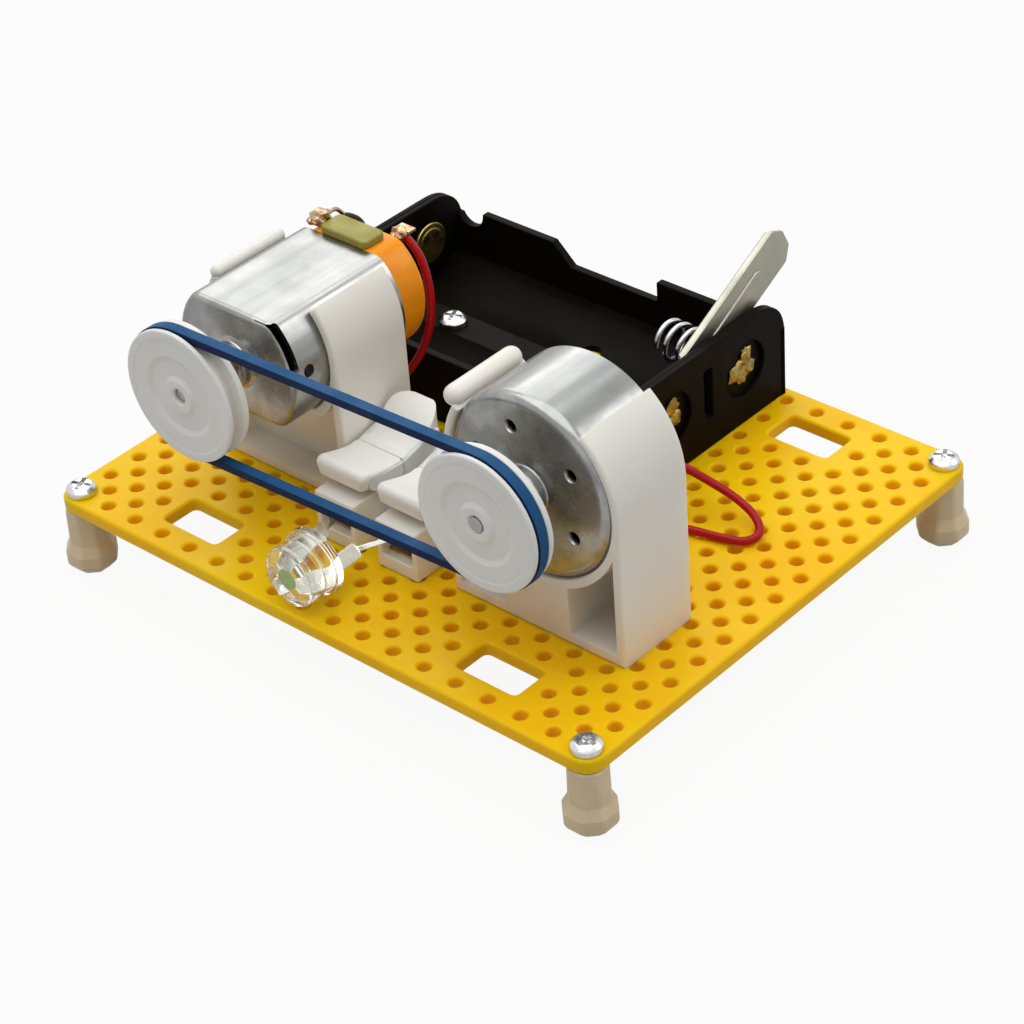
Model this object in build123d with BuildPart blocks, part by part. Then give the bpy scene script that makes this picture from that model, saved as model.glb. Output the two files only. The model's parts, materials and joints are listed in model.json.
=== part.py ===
"""Demonstration electric motor on a perforated yellow base plate.

A battery box with a knife switch drives a small flat-sided motor; a blue rubber belt turns a
second, round motor that works as a generator and lights an LED through a lever terminal block.
Millimetres, +Z up, +X to the right, -Y to the front. The feet stand on z = 0.
"""

import math
import os

from build123d import *

os.makedirs("parts", exist_ok=True)

# ------------------------------------------------------------------ clearances
RUN = 0.05          # running clearance on a radius
SEAT = 0.03         # clearance of a seated round piece
AIR = 0.3           # air round something that moves
SNUG = 0.05         # clearance of a block in its cradle

# ------------------------------------------------------------------ base plate
PLATE_L = 90.0
PLATE_W = 75.0
PLATE_T = 2.0
PLATE_R = 3.0
PLATE_EDGE = 0.4
PLATE_Y = -1.2      # plate's centre, so that the object's box is centred on the origin
PITCH = 5.0         # lattice pitch, both ways; a second lattice sits at the cell centres
COLUMNS = 18
ROWS = 15
HOLE_D = 1.9        # true bore of a lattice hole
HOLE_FLAT = 1.7     # side of the square that stands for the small holes not used here
SLOT_L = 9.5
SLOT_W = 5.5
SLOT_R = 0.8
SLOT_X = 5.0 * PITCH
SLOT_Y = 6.0 * PITCH
LEG_H = 9.5
LEG_R = 2.65
FOOT_R = 3.3
FOOT_H = 4.2
FOOT_TOE_R = 2.3
SCREW_R = 0.9
SCREW_HEAD_R = 2.0
SCREW_HEAD_T = 1.35
SCREW_BITE = 4.0    # length of a screw in the plastic it holds
CROSS_L = 2.3
CROSS_W = 0.5

# ------------------------------------------------------------------ motors
AXIS_H = 20.5       # both motor axes above the plate
MOTOR_OUT = 1.1     # motor axes outside the middle of their bracket screws
BRACKET_FRONT = 6.5  # bracket's front face ahead of its screws' middle
SHAFT_R = 1.0
BUSH_R = 1.9
BUSH_L = 1.8
BOSS_R = 3.0
BOSS_L = 1.5
CAN_WALL = 0.7

DRIVE_R = 10.05     # drive motor's can: round sides
DRIVE_FLAT = 7.55   # and flats above and below
DRIVE_CORNER = 1.6
DRIVE_L = 20.0
DRIVE_AHEAD = 6.0   # can's front face ahead of the bracket
DRIVE_CAP_L = 5.5
DRIVE_CAP_R = 9.1
DRIVE_RIM_L = 1.3
DRIVE_WALL = 1.35
DRIVE_DEPTH = 12.6
DRIVE_RECESS = 4.3
DRIVE_RIGHT = 42.0  # how far up each bracket arm goes, degrees over the horizontal
DRIVE_LEFT = 34.4

GEN_R = 12.2
GEN_L = 12.4
GEN_WALL = 1.1
GEN_DEPTH = 12.6
GEN_AHEAD = 0.1
GEN_WEB = 5.0
GEN_BACK = 1.5      # wall behind the two front pockets
GEN_RIGHT = 51.0
GEN_LEFT = 32.0
FACE_HOLE_R = 0.75
FACE_HOLE_AT = 8.0
BRACKET_FLOOR = 1.5
BEAD_R = 1.35
BEAD_LIFT = 0.55    # bead's inner side outside the can

# ------------------------------------------------------------------ pulleys and belt
PULLEY_R = 9.0
PULLEY_W = 3.4
RIM_W = 0.4
GROOVE_R = 7.2
HUB_R = 2.4
DISH_R = 5.5
DISH_D = 0.5
DRIVE_PULLEY_AHEAD = 9.9   # pulley's front face ahead of the can's
GEN_PULLEY_AHEAD = 9.1
BELT_W = 2.0
BELT_T = 0.8

# ------------------------------------------------------------------ battery box
CELL_R = 7.25
CELL_PITCH = 15.0
CELL_H = 8.1
CRADLE_R = CELL_R + SNUG
RIDGE_H = 3.0
BOX_L = 58.0
BOX_W = 32.1
BOX_WALL = 1.2
BOX_END = 1.5
BOX_SIDE_H = 10.2
BOX_RIGHT_H = 15.0
BOX_LEFT_H = 13.0
BOX_CORNER = 6.0
NOTCH_H = 7.6
DIP_H = 7.2
RECESS_R = 4.0
RECESS_D = 0.7
CONTACT_R = 3.0
CONTACT_T = 0.4
RIVET_R = 1.2
RIVET_HEAD_R = 2.2
SPRING_R = 3.0
SPRING_WIRE = 0.7
SPRING_L = 10.0
SPRING_HALF_TURNS = 7
BLADE_T = 0.5
BLADE_W = 6.4
BLADE_L = 29.6      # pivot to tip
BLADE_REST = 27.0   # degrees over the horizontal
BLADE_GAP = 0.35
BLADE_LIP = 1.0

# ------------------------------------------------------------------ terminal block and LED
BLOCK_L = 17.5
COLUMN_W = 6.6
COLUMN_PITCH = 10.3
COLUMN_H = 7.0
WINDOW_W = 5.0
WINDOW_LOW = 2.0
WINDOW_H = 3.5
WEB_H = 3.0
LEVER_W = 8.2
LEVER_SIDE = 0.1    # between a column and the lever's cheeks
PIVOT_AT = 2.0      # pivots either side of the block's middle
PIVOT_H = 5.5
PIVOT_R = 0.9
CHEEK_R = 1.7
LED_R = 4.0
LED_FLANGE_R = 4.5
LED_FLANGE_T = 1.0
LED_L = 5.5
LED_DOME = 1.2
LED_H = 5.0
LED_CUP_R = 2.6
LED_CUP_L = 2.5
LEAD_SIDE = 0.5
WIRE_R = 0.55

# ------------------------------------------------------------------ derived places
PLATE_TOP = LEG_H + PLATE_T
LEG_X = (COLUMNS - 1) / 2 * PITCH
LEG_Y = (ROWS - 1) / 2 * PITCH
DRIVE_SCREWS = [(-5.5 * PITCH, -2 * PITCH), (-3.5 * PITCH, -2 * PITCH)]
GEN_SCREWS = [(4 * PITCH, -3.5 * PITCH), (5 * PITCH, -2.5 * PITCH)]
BLOCK_SCREW = (-0.5 * PITCH, -3 * PITCH)
BOX_SCREWS = [(-5.5 * PITCH, 4 * PITCH), (0.5 * PITCH, 4 * PITCH)]
FREE_HOLES = [(x * PITCH, y * PITCH) for x in (5.5, 7.5) for y in (0, 4)]
DRIVE_X = -4.5 * PITCH - MOTOR_OUT
DRIVE_Y = -2 * PITCH - BRACKET_FRONT
GEN_X = 4.5 * PITCH + MOTOR_OUT
GEN_Y = -3 * PITCH - BRACKET_FRONT
DRIVE_FACE = DRIVE_Y - DRIVE_AHEAD
GEN_FACE = GEN_Y - GEN_AHEAD
DRIVE_PULLEY_Y = DRIVE_FACE - DRIVE_PULLEY_AHEAD
GEN_PULLEY_Y = GEN_FACE - GEN_PULLEY_AHEAD
BLOCK_X = BLOCK_SCREW[0]
BLOCK_Y = BLOCK_SCREW[1] + 0.2
BOX_X = (BOX_SCREWS[0][0] + BOX_SCREWS[1][0]) / 2
BOX_Y = BOX_SCREWS[0][1] + 0.35
BOX_LEFT = BOX_X - BOX_L / 2
BOX_RIGHT = BOX_X + BOX_L / 2
BOX_FRONT = BOX_Y - BOX_W / 2
BOX_BACK = BOX_Y + BOX_W / 2
CELL_FRONT = BOX_Y - CELL_PITCH / 2
CELL_BACK = BOX_Y + CELL_PITCH / 2
END_FACE = BOX_RIGHT - BOX_END
BLADE_X = END_FACE - BLADE_GAP - BLADE_T
CONTACT_X = BLADE_X - BLADE_GAP - CONTACT_T
COLUMN_X = [BLOCK_X - COLUMN_PITCH / 2, BLOCK_X + COLUMN_PITCH / 2]
LED_FACE = -PLATE_W / 2 + 0.1
LED_BACK = LED_FACE + LED_L


def spot(x, y, h=0.0):
    """A point given from the plate's centre, h above the plate's top face."""
    return Vector(x, PLATE_Y + y, PLATE_TOP + h)


def up_from(x, y, h=0.0):
    """A plane that faces up: sketch X, Y are the object's."""
    return Plane(origin=spot(x, y, h), x_dir=(1, 0, 0), z_dir=(0, 0, 1))


def facing_front(x, y, h=0.0):
    """A plane that faces the front: sketch X, Y are the object's X and Z."""
    return Plane(origin=spot(x, y, h), x_dir=(1, 0, 0), z_dir=(0, -1, 0))


def facing_right(x, y, h=0.0):
    """A plane that faces right: sketch X, Y are the object's Y and Z."""
    return Plane(origin=spot(x, y, h), x_dir=(0, 1, 0), z_dir=(1, 0, 0))


def save(builder, name):
    builder.part.label = name
    export_step(builder.part, f"parts/{name}.step")


# ================================================================== base plate and legs
def clear_of_slots(x, y):
    in_x = abs(abs(x) - SLOT_X) < (SLOT_L + HOLE_D) / 2
    in_y = abs(abs(y) - SLOT_Y) < (SLOT_W + HOLE_D) / 2
    return not (in_x and in_y)


round_holes = DRIVE_SCREWS + GEN_SCREWS + [BLOCK_SCREW] + BOX_SCREWS + FREE_HOLES
round_holes += [(x, y) for x in (-LEG_X, LEG_X) for y in (-LEG_Y, LEG_Y)]
lattice = [((i - (COLUMNS - 1) / 2) * PITCH, (j - (ROWS - 1) / 2) * PITCH)
           for i in range(COLUMNS) for j in range(ROWS)]
lattice += [((i - COLUMNS / 2 + 1) * PITCH, (j - ROWS / 2 + 1) * PITCH)
            for i in range(COLUMNS - 1) for j in range(ROWS - 1)]
small_holes = [p for p in lattice if clear_of_slots(*p)
               and min(math.dist(p, q) for q in round_holes) > HOLE_D]
print("lattice holes", len(lattice), "of them small", len(small_holes))

with BuildSketch() as blank:
    RectangleRounded(PLATE_L, PLATE_W, PLATE_R)
with BuildSketch() as punch:
    Rectangle(HOLE_FLAT, HOLE_FLAT)
punched = [punch.wire().moved(Location((x, y, 0))) for x, y in small_holes]

with BuildPart() as base_plate:
    with BuildSketch(up_from(0, 0, -PLATE_T)):
        add(Face(blank.wire(), punched))
        with Locations(*[(x, y) for x in (-SLOT_X, SLOT_X) for y in (-SLOT_Y, SLOT_Y)]):
            RectangleRounded(SLOT_L, SLOT_W, SLOT_R, mode=Mode.SUBTRACT)
        with Locations(*round_holes):
            Circle(HOLE_D / 2, mode=Mode.SUBTRACT)
        with Locations(*small_holes):
            Rectangle(HOLE_FLAT, HOLE_FLAT, mode=Mode.SUBTRACT)
    extrude(amount=PLATE_T)
    rims = [f.outer_wire().edges() for f in base_plate.faces().filter_by(Axis.Z).sort_by(Axis.Z)]
    chamfer(rims[0] + rims[-1], PLATE_EDGE)
save(base_plate, "base_plate")


def screw(x, y, h, shank, facing=1):
    """Pan-head screw seated on height h, its shank running away from the head."""
    seat = Plane(origin=spot(x, y, h), x_dir=(1, 0, 0), z_dir=(0, 0, facing))
    with BuildPart() as one:
        with BuildSketch(seat):
            Circle(SCREW_HEAD_R)
        extrude(amount=SCREW_HEAD_T)
        chamfer(one.faces().sort_by(Axis.Z)[-1 if facing > 0 else 0].edges(), SCREW_HEAD_T / 2)
        with BuildSketch(seat):
            Circle(SCREW_R)
        extrude(amount=-shank)
        with BuildSketch(seat.offset(SCREW_HEAD_T)):
            Rectangle(CROSS_L, CROSS_W)
            Rectangle(CROSS_W, CROSS_L)
        extrude(amount=-SCREW_HEAD_T / 2, mode=Mode.SUBTRACT)
    return one.part


for name, x, y in (("leg_front_left", -LEG_X, -LEG_Y), ("leg_front_right", LEG_X, -LEG_Y),
                   ("leg_back_left", -LEG_X, LEG_Y), ("leg_back_right", LEG_X, LEG_Y)):
    with BuildPart() as leg:
        foot = facing_front(x, y, -PLATE_TOP)
        with BuildSketch(foot):
            with BuildLine():
                Polyline((0, 0), (FOOT_TOE_R, 0), (FOOT_R, FOOT_H * 0.26), (FOOT_R, FOOT_H * 0.7),
                         (LEG_R, FOOT_H), (LEG_R, LEG_H), (0, LEG_H), close=True)
            make_face()
        revolve(axis=Axis(foot.origin, (0, 0, 1)))
        with BuildSketch(up_from(x, y, -PLATE_T)):
            Circle(SCREW_R + RUN)
        extrude(amount=-SCREW_BITE - RUN, mode=Mode.SUBTRACT)
    save(leg, name)

with BuildPart() as leg_screws:
    for x in (-LEG_X, LEG_X):
        for y in (-LEG_Y, LEG_Y):
            add(screw(x, y, 0, PLATE_T + SCREW_BITE))
save(leg_screws, "leg_screws")

with BuildPart() as bracket_screws:
    for x, y in DRIVE_SCREWS + GEN_SCREWS:
        add(screw(x, y, -PLATE_T, PLATE_T + SCREW_BITE, facing=-1))
save(bracket_screws, "bracket_screws")


# ================================================================== drive motor
def two_flats(radius, flat, corner):
    """A circle with flats above and below, corners rounded."""
    half = math.degrees(math.asin(flat / radius))
    with BuildSketch() as outline:
        with BuildLine():
            right = CenterArc((0, 0), radius, -half, 2 * half)
            left = CenterArc((0, 0), radius, 180 - half, 2 * half)
            Line(right @ 1, left @ 0)
            Line(left @ 1, right @ 0)
        make_face()
        if corner:
            fillet(outline.vertices(), corner)
    return outline.sketch


drive_front = facing_front(DRIVE_X, DRIVE_Y)
drive_out = DRIVE_R + SNUG + DRIVE_WALL
with BuildPart() as drive_motor_bracket:
    with BuildSketch(drive_front):
        with BuildLine():
            foot = Polyline((-drive_out, AXIS_H), (-drive_out, 0), (drive_out, 0),
                            (drive_out, AXIS_H))
            right = CenterArc((0, AXIS_H), drive_out, 0, DRIVE_RIGHT)
            left = CenterArc((0, AXIS_H), drive_out, 180, -DRIVE_LEFT)
            over = Line(right @ 1, (0, AXIS_H))
            Line(over @ 1, left @ 1)
        make_face()
        with Locations((0, AXIS_H)):
            add(two_flats(DRIVE_R + SNUG, DRIVE_FLAT + SNUG, 0), mode=Mode.SUBTRACT)
            with PolarLocations(DRIVE_R + BEAD_LIFT + BEAD_R / 2, 1, 180 - DRIVE_LEFT):
                Circle(BEAD_R / 1.5)
    extrude(amount=-DRIVE_DEPTH)
    with BuildSketch(drive_front):
        with Locations((0, BRACKET_FLOOR)):
            Rectangle(2 * (drive_out - DRIVE_WALL), AXIS_H - BRACKET_FLOOR,
                      align=(Align.CENTER, Align.MIN))
        with Locations((0, AXIS_H)):
            Circle(drive_out, mode=Mode.SUBTRACT)
    extrude(amount=-DRIVE_RECESS, mode=Mode.SUBTRACT)
    with BuildSketch(up_from(0, 0)):
        with Locations(*DRIVE_SCREWS):
            Circle(SCREW_R + RUN)
    extrude(amount=SCREW_BITE + RUN, mode=Mode.SUBTRACT)
save(drive_motor_bracket, "drive_motor_bracket")

drive_axis = facing_front(DRIVE_X, DRIVE_FACE, AXIS_H)
with BuildPart() as drive_motor_can:
    with BuildSketch(drive_axis):
        add(two_flats(DRIVE_R, DRIVE_FLAT, DRIVE_CORNER))
    extrude(amount=-DRIVE_L)
    with BuildSketch(drive_axis):
        Circle(BOSS_R)
    extrude(amount=BOSS_L)
    with BuildSketch(drive_axis.offset(-CAN_WALL)):
        add(two_flats(DRIVE_R - CAN_WALL, DRIVE_FLAT - CAN_WALL, DRIVE_CORNER - CAN_WALL))
    extrude(amount=-DRIVE_L, mode=Mode.SUBTRACT)
    with BuildSketch(drive_axis.offset(BOSS_L)):
        Circle(BUSH_R)
    extrude(amount=-BOSS_L - CAN_WALL, mode=Mode.SUBTRACT)
    with BuildSketch(facing_right(DRIVE_X, DRIVE_FACE, AXIS_H)):
        with Locations((1.6, 3.0)):
            Rectangle(1.4, 4.6)
        with Locations((4.6, 1.6)):
            Circle(FACE_HOLE_R)
    extrude(amount=DRIVE_R, mode=Mode.SUBTRACT)
save(drive_motor_can, "drive_motor_can")

CAP_Y = DRIVE_FACE + DRIVE_L
CAP_WALL = 1.2
drive_back = facing_front(DRIVE_X, CAP_Y, AXIS_H)
with BuildPart() as drive_motor_end_cap:
    with BuildSketch(drive_back):
        add(two_flats(DRIVE_CAP_R, DRIVE_FLAT, DRIVE_CORNER / 2))
    extrude(amount=-DRIVE_CAP_L)
    with BuildSketch(drive_back.offset(-DRIVE_CAP_L)):
        Circle(DRIVE_CAP_R)
    extrude(amount=DRIVE_RIM_L)
    with BuildSketch(drive_back):
        Circle(DRIVE_FLAT - CAP_WALL)
    extrude(amount=-DRIVE_CAP_L + CAP_WALL, mode=Mode.SUBTRACT)
    with BuildSketch(drive_back.offset(-DRIVE_CAP_L)):
        Circle(BOSS_R)
    extrude(amount=-BUSH_L + CAP_WALL)
    with BuildSketch(drive_back.offset(-DRIVE_CAP_L + CAP_WALL)):
        Circle(BUSH_R)
    extrude(amount=-BUSH_L, mode=Mode.SUBTRACT)
save(drive_motor_end_cap, "drive_motor_end_cap")


def bush(plane):
    """Plain bearing whose front face lies on the plane."""
    with BuildPart() as one:
        with BuildSketch(plane):
            Circle(BUSH_R - SEAT)
            Circle(SHAFT_R + RUN, mode=Mode.SUBTRACT)
        extrude(amount=-BUSH_L)
    return one.part


with BuildPart() as drive_motor_bushes:
    add(bush(drive_axis.offset(BOSS_L)))
    add(bush(drive_back.offset(-DRIVE_CAP_L + CAP_WALL)))
save(drive_motor_bushes, "drive_motor_bushes")

MAGNET_T = 1.8
MAGNET_HALF = 34.0
ROTOR_AIR = 0.4
MAGNET_L = 12.0
SHAFT_BACK = 0.3


def magnet(outer, half, sides=2):
    """Arc magnets left and right of the axis, as a flat outline."""
    with BuildSketch() as outline:
        with PolarLocations(0, sides):
            with BuildLine():
                far = CenterArc((0, 0), outer, -half, 2 * half)
                near = CenterArc((0, 0), outer - MAGNET_T, -half, 2 * half)
                Line(far @ 0, near @ 0)
                Line(far @ 1, near @ 1)
            make_face()
    return outline.sketch


MAGNET_Y = 3.0
drive_core_r = DRIVE_FLAT - CAN_WALL - ROTOR_AIR
with BuildPart() as drive_motor_magnets:
    with BuildSketch(drive_axis.offset(-MAGNET_Y)):
        add(magnet(DRIVE_R - CAN_WALL - SEAT, MAGNET_HALF))
        Rectangle(4 * DRIVE_R, 2 * (DRIVE_FLAT - CAN_WALL - SNUG), mode=Mode.INTERSECT)
    extrude(amount=-MAGNET_L)
save(drive_motor_magnets, "drive_motor_magnets")

ARM_W = 1.8
CORE_HUB = 2.2
SHOE_T = 1.0
SHOE_GAP = 1.2
COIL_W = 1.2
COIL_OUT = 1.3
CORE_L = 9.0


def core_outline(radius):
    """Three-slot lamination."""
    with BuildSketch() as outline:
        Circle(radius)
        Circle(radius - SHOE_T, mode=Mode.SUBTRACT)
        with PolarLocations(radius, 3, 60):
            Rectangle(3 * SHOE_T, SHOE_GAP, mode=Mode.SUBTRACT)
        Circle(CORE_HUB)
        with PolarLocations(radius / 2, 3):
            Rectangle(radius - SHOE_T, ARM_W)
        Circle(SHAFT_R + SEAT, mode=Mode.SUBTRACT)
    return outline.sketch


def coils(plane, radius):
    """One coil round each arm, over both ends of the core that starts on the plane."""
    inner = CORE_HUB + 2 * COIL_W / 3
    reach = radius - SHOE_T - 2 * SNUG - inner - COIL_W / 2
    with BuildPart() as three:
        with BuildSketch(plane.offset(COIL_OUT)):
            with PolarLocations(inner + reach / 2, 3):
                Rectangle(reach, ARM_W + 2 * COIL_W)
        extrude(amount=-CORE_L - 2 * COIL_OUT)
        with BuildSketch(plane.offset(SEAT)):
            with PolarLocations(inner + reach / 2, 3):
                Rectangle(2 * reach, ARM_W + 2 * SEAT)
        extrude(amount=-CORE_L - 2 * SEAT, mode=Mode.SUBTRACT)
    return three.part


COMMUTATOR_R = 2.2
COMMUTATOR_L = 2.4
drive_core = drive_axis.offset(-MAGNET_Y - 1.5)
with BuildPart() as drive_armature:
    with BuildSketch(drive_core):
        add(core_outline(drive_core_r))
    extrude(amount=-CORE_L)
save(drive_armature, "drive_armature")

with BuildPart() as drive_windings:
    add(coils(drive_core, drive_core_r))
save(drive_windings, "drive_windings")

drive_comm = drive_back.offset(-AIR)
with BuildPart() as drive_commutator:
    with BuildSketch(drive_comm):
        Circle(COMMUTATOR_R)
        Circle(SHAFT_R + SEAT, mode=Mode.SUBTRACT)
        with PolarLocations(COMMUTATOR_R, 3):
            Rectangle(1.0, 0.3, mode=Mode.SUBTRACT)
    extrude(amount=-COMMUTATOR_L)
save(drive_commutator, "drive_commutator")

shaft_end = DRIVE_CAP_L - CAP_WALL + BUSH_L - SHAFT_BACK
with BuildPart() as drive_shaft:
    with BuildSketch(facing_front(DRIVE_X, DRIVE_PULLEY_Y + 0.6, AXIS_H)):
        Circle(SHAFT_R)
    extrude(amount=-(CAP_Y + shaft_end - DRIVE_PULLEY_Y - 0.6))
save(drive_shaft, "drive_shaft")

BRUSH_T = 0.4
BRUSH_H = 4.6
with BuildPart() as drive_motor_brushes:
    with BuildSketch(drive_comm):
        with Locations(*[(s * (COMMUTATOR_R + BRUSH_T / 2 + 0.12), 0) for s in (-1, 1)]):
            Rectangle(BRUSH_T, BRUSH_H)
    extrude(amount=-DRIVE_CAP_L + CAP_WALL + AIR)
save(drive_motor_brushes, "drive_motor_brushes")

TAB_T = 0.5
TAB_W = 2.4
LUG_LEFT = (-5.6, CAP_Y + 1.4, 7.55)     # from the axis: X, plate Y, height
LUG_RIGHT = (3.8, CAP_Y + DRIVE_CAP_L, 7.0)
SOLDER_R = 1.0
with BuildPart() as drive_motor_terminals:
    with BuildSketch(up_from(DRIVE_X + LUG_LEFT[0], LUG_LEFT[1], AXIS_H + DRIVE_FLAT)):
        Rectangle(TAB_W, TAB_T)
    extrude(amount=1.7)
    with BuildSketch(up_from(DRIVE_X + LUG_LEFT[0], LUG_LEFT[1], AXIS_H + DRIVE_FLAT + 0.9)):
        RegularPolygon(SOLDER_R, 8)
    extrude(amount=1.5, taper=25)
    with BuildSketch(facing_front(DRIVE_X + LUG_RIGHT[0], LUG_RIGHT[1], AXIS_H + LUG_RIGHT[2])):
        Rectangle(TAB_W, TAB_T)
    extrude(amount=-1.4)
    with BuildSketch(facing_front(DRIVE_X + LUG_RIGHT[0], LUG_RIGHT[1] + 0.4,
                                  AXIS_H + LUG_RIGHT[2])):
        RegularPolygon(SOLDER_R, 8)
    extrude(amount=-1.4, taper=25)
save(drive_motor_terminals, "drive_motor_terminals")

CAPACITOR_L = 8.6
CAPACITOR_W = 3.9
CAPACITOR_T = 1.1
with BuildPart() as suppression_capacitor:
    with BuildSketch(up_from(DRIVE_X - 0.1, CAP_Y + CAPACITOR_W / 2 + 0.2, AXIS_H + DRIVE_FLAT)):
        RectangleRounded(CAPACITOR_L - 2.4, CAPACITOR_W, 1.2)
    extrude(amount=CAPACITOR_T)
save(suppression_capacitor, "suppression_capacitor")

# ================================================================== generator
gen_front = facing_front(GEN_X, GEN_Y)
gen_seat = GEN_R + SNUG
gen_out = gen_seat + GEN_WALL
with BuildPart() as generator_bracket:
    with BuildSketch(gen_front):
        with BuildLine():
            foot = Polyline((-gen_out, AXIS_H), (-gen_out, 0), (gen_out, 0), (gen_out, AXIS_H))
            right = CenterArc((0, AXIS_H), gen_out, 0, GEN_RIGHT)
            left = CenterArc((0, AXIS_H), gen_out, 180, -GEN_LEFT)
            over = Line(right @ 1, (0, AXIS_H))
            Line(over @ 1, left @ 1)
        make_face()
        with Locations((0, AXIS_H)):
            Circle(gen_seat, mode=Mode.SUBTRACT)
            with PolarLocations(GEN_R + BEAD_LIFT + BEAD_R, 1, 180 - GEN_LEFT):
                Circle(BEAD_R)
    extrude(amount=-GEN_DEPTH)
    with BuildSketch(gen_front):
        pocket = gen_out - GEN_WALL - GEN_WEB
        with Locations(*[(s * (GEN_WEB + pocket / 2), BRACKET_FLOOR) for s in (-1, 1)]):
            Rectangle(pocket, AXIS_H - BRACKET_FLOOR, align=(Align.CENTER, Align.MIN))
        with Locations((0, AXIS_H)):
            Circle(gen_out, mode=Mode.SUBTRACT)
    extrude(amount=-GEN_DEPTH + GEN_BACK, mode=Mode.SUBTRACT)
    with BuildSketch(up_from(0, 0)):
        with Locations(*GEN_SCREWS):
            Circle(SCREW_R + RUN)
    extrude(amount=SCREW_BITE + RUN, mode=Mode.SUBTRACT)
save(generator_bracket, "generator_bracket")

gen_axis = facing_front(GEN_X, GEN_FACE, AXIS_H)
with BuildPart() as generator_can:
    with BuildSketch(gen_axis):
        Circle(GEN_R)
    extrude(amount=-GEN_L)
    with BuildSketch(gen_axis):
        Circle(BOSS_R)
    extrude(amount=BOSS_L)
    with BuildSketch(gen_axis.offset(-CAN_WALL)):
        Circle(GEN_R - CAN_WALL)
    extrude(amount=-GEN_L, mode=Mode.SUBTRACT)
    with BuildSketch(gen_axis.offset(BOSS_L)):
        Circle(BUSH_R)
    extrude(amount=-BOSS_L - CAN_WALL, mode=Mode.SUBTRACT)
    with BuildSketch(gen_axis):
        for angle in (105, 33, -33, 162):
            with PolarLocations(FACE_HOLE_AT, 1, angle):
                Circle(FACE_HOLE_R)
    extrude(amount=-CAN_WALL, mode=Mode.SUBTRACT)
save(generator_can, "generator_can")

END_T = 1.0
gen_end = gen_axis.offset(-GEN_L + END_T)
with BuildPart() as generator_end_plate:
    with BuildSketch(gen_end):
        Circle(GEN_R - CAN_WALL - SEAT)
        Circle(BUSH_R, mode=Mode.SUBTRACT)
    extrude(amount=-END_T)
save(generator_end_plate, "generator_end_plate")

with BuildPart() as generator_bushes:
    add(bush(gen_axis.offset(BOSS_L)))
    add(bush(gen_end))
save(generator_bushes, "generator_bushes")

GEN_MAGNET_L = 6.5
with BuildPart() as generator_magnets:
    with BuildSketch(gen_axis.offset(-CAN_WALL - 1.2)):
        add(magnet(GEN_R - CAN_WALL - SEAT, 60))
    extrude(amount=-GEN_MAGNET_L)
save(generator_magnets, "generator_magnets")

GEN_CORE_L = 4.2
GEN_CORE_R = GEN_R - CAN_WALL - MAGNET_T - ROTOR_AIR
CORE_L = GEN_CORE_L
gen_core = gen_axis.offset(-CAN_WALL - 2.4)
with BuildPart() as generator_armature:
    with BuildSketch(gen_core):
        add(core_outline(GEN_CORE_R))
    extrude(amount=-GEN_CORE_L)
save(generator_armature, "generator_armature")

with BuildPart() as generator_windings:
    add(coils(gen_core, GEN_CORE_R))
save(generator_windings, "generator_windings")

gen_comm = gen_core.offset(-GEN_CORE_L - COIL_OUT - AIR)
gen_comm_l = GEN_L - CAN_WALL - 2.4 - GEN_CORE_L - COIL_OUT - AIR - END_T - AIR
with BuildPart() as generator_commutator:
    with BuildSketch(gen_comm):
        Circle(COMMUTATOR_R)
        Circle(SHAFT_R + SEAT, mode=Mode.SUBTRACT)
        with PolarLocations(COMMUTATOR_R, 3):
            Rectangle(1.0, 0.3, mode=Mode.SUBTRACT)
    extrude(amount=-gen_comm_l)
save(generator_commutator, "generator_commutator")

with BuildPart() as generator_brushes:
    with BuildSketch(gen_comm):
        with Locations(*[(s * (COMMUTATOR_R + BRUSH_T / 2 + 0.12), 0) for s in (-1, 1)]):
            Rectangle(BRUSH_T, BRUSH_H)
    extrude(amount=-gen_comm_l - AIR)
save(generator_brushes, "generator_brushes")

gen_shaft_end = GEN_L - END_T + BUSH_L - SHAFT_BACK
with BuildPart() as generator_shaft:
    with BuildSketch(facing_front(GEN_X, GEN_PULLEY_Y, AXIS_H)):
        Circle(SHAFT_R)
    extrude(amount=-(GEN_FACE + gen_shaft_end - GEN_PULLEY_Y))
save(generator_shaft, "generator_shaft")

GEN_TAB_X = 5.5
GEN_TAB_H = 3.5
GEN_TAB_L = 2.4
with BuildPart() as generator_terminals:
    with BuildSketch(gen_axis.offset(-GEN_L)):
        with Locations((-GEN_TAB_X, GEN_TAB_H), (GEN_TAB_X, GEN_TAB_H)):
            Rectangle(TAB_W, TAB_T)
    extrude(amount=-GEN_TAB_L)
save(generator_terminals, "generator_terminals")


# ================================================================== pulleys and belt
def pulley(x, y):
    """Flat-belt pulley with a dished front face; y is its front face."""
    middle = facing_right(x, y, AXIS_H)
    with BuildPart() as one:
        with BuildSketch(middle):
            with BuildLine():
                Polyline((0, SHAFT_R + SEAT), (0, HUB_R), (DISH_D, HUB_R + 0.3),
                         (DISH_D, DISH_R - 0.5), (0, DISH_R), (0, PULLEY_R), (RIM_W, PULLEY_R),
                         (RIM_W, GROOVE_R), (PULLEY_W - RIM_W, GROOVE_R),
                         (PULLEY_W - RIM_W, PULLEY_R), (PULLEY_W, PULLEY_R),
                         (PULLEY_W, SHAFT_R + SEAT), close=True)
            make_face()
        revolve(axis=Axis(middle.origin, (0, 1, 0)))
    return one.part


with BuildPart() as drive_pulley:
    add(pulley(DRIVE_X, DRIVE_PULLEY_Y))
save(drive_pulley, "drive_pulley")

with BuildPart() as generator_pulley:
    add(pulley(GEN_X, GEN_PULLEY_Y))
save(generator_pulley, "generator_pulley")

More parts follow.
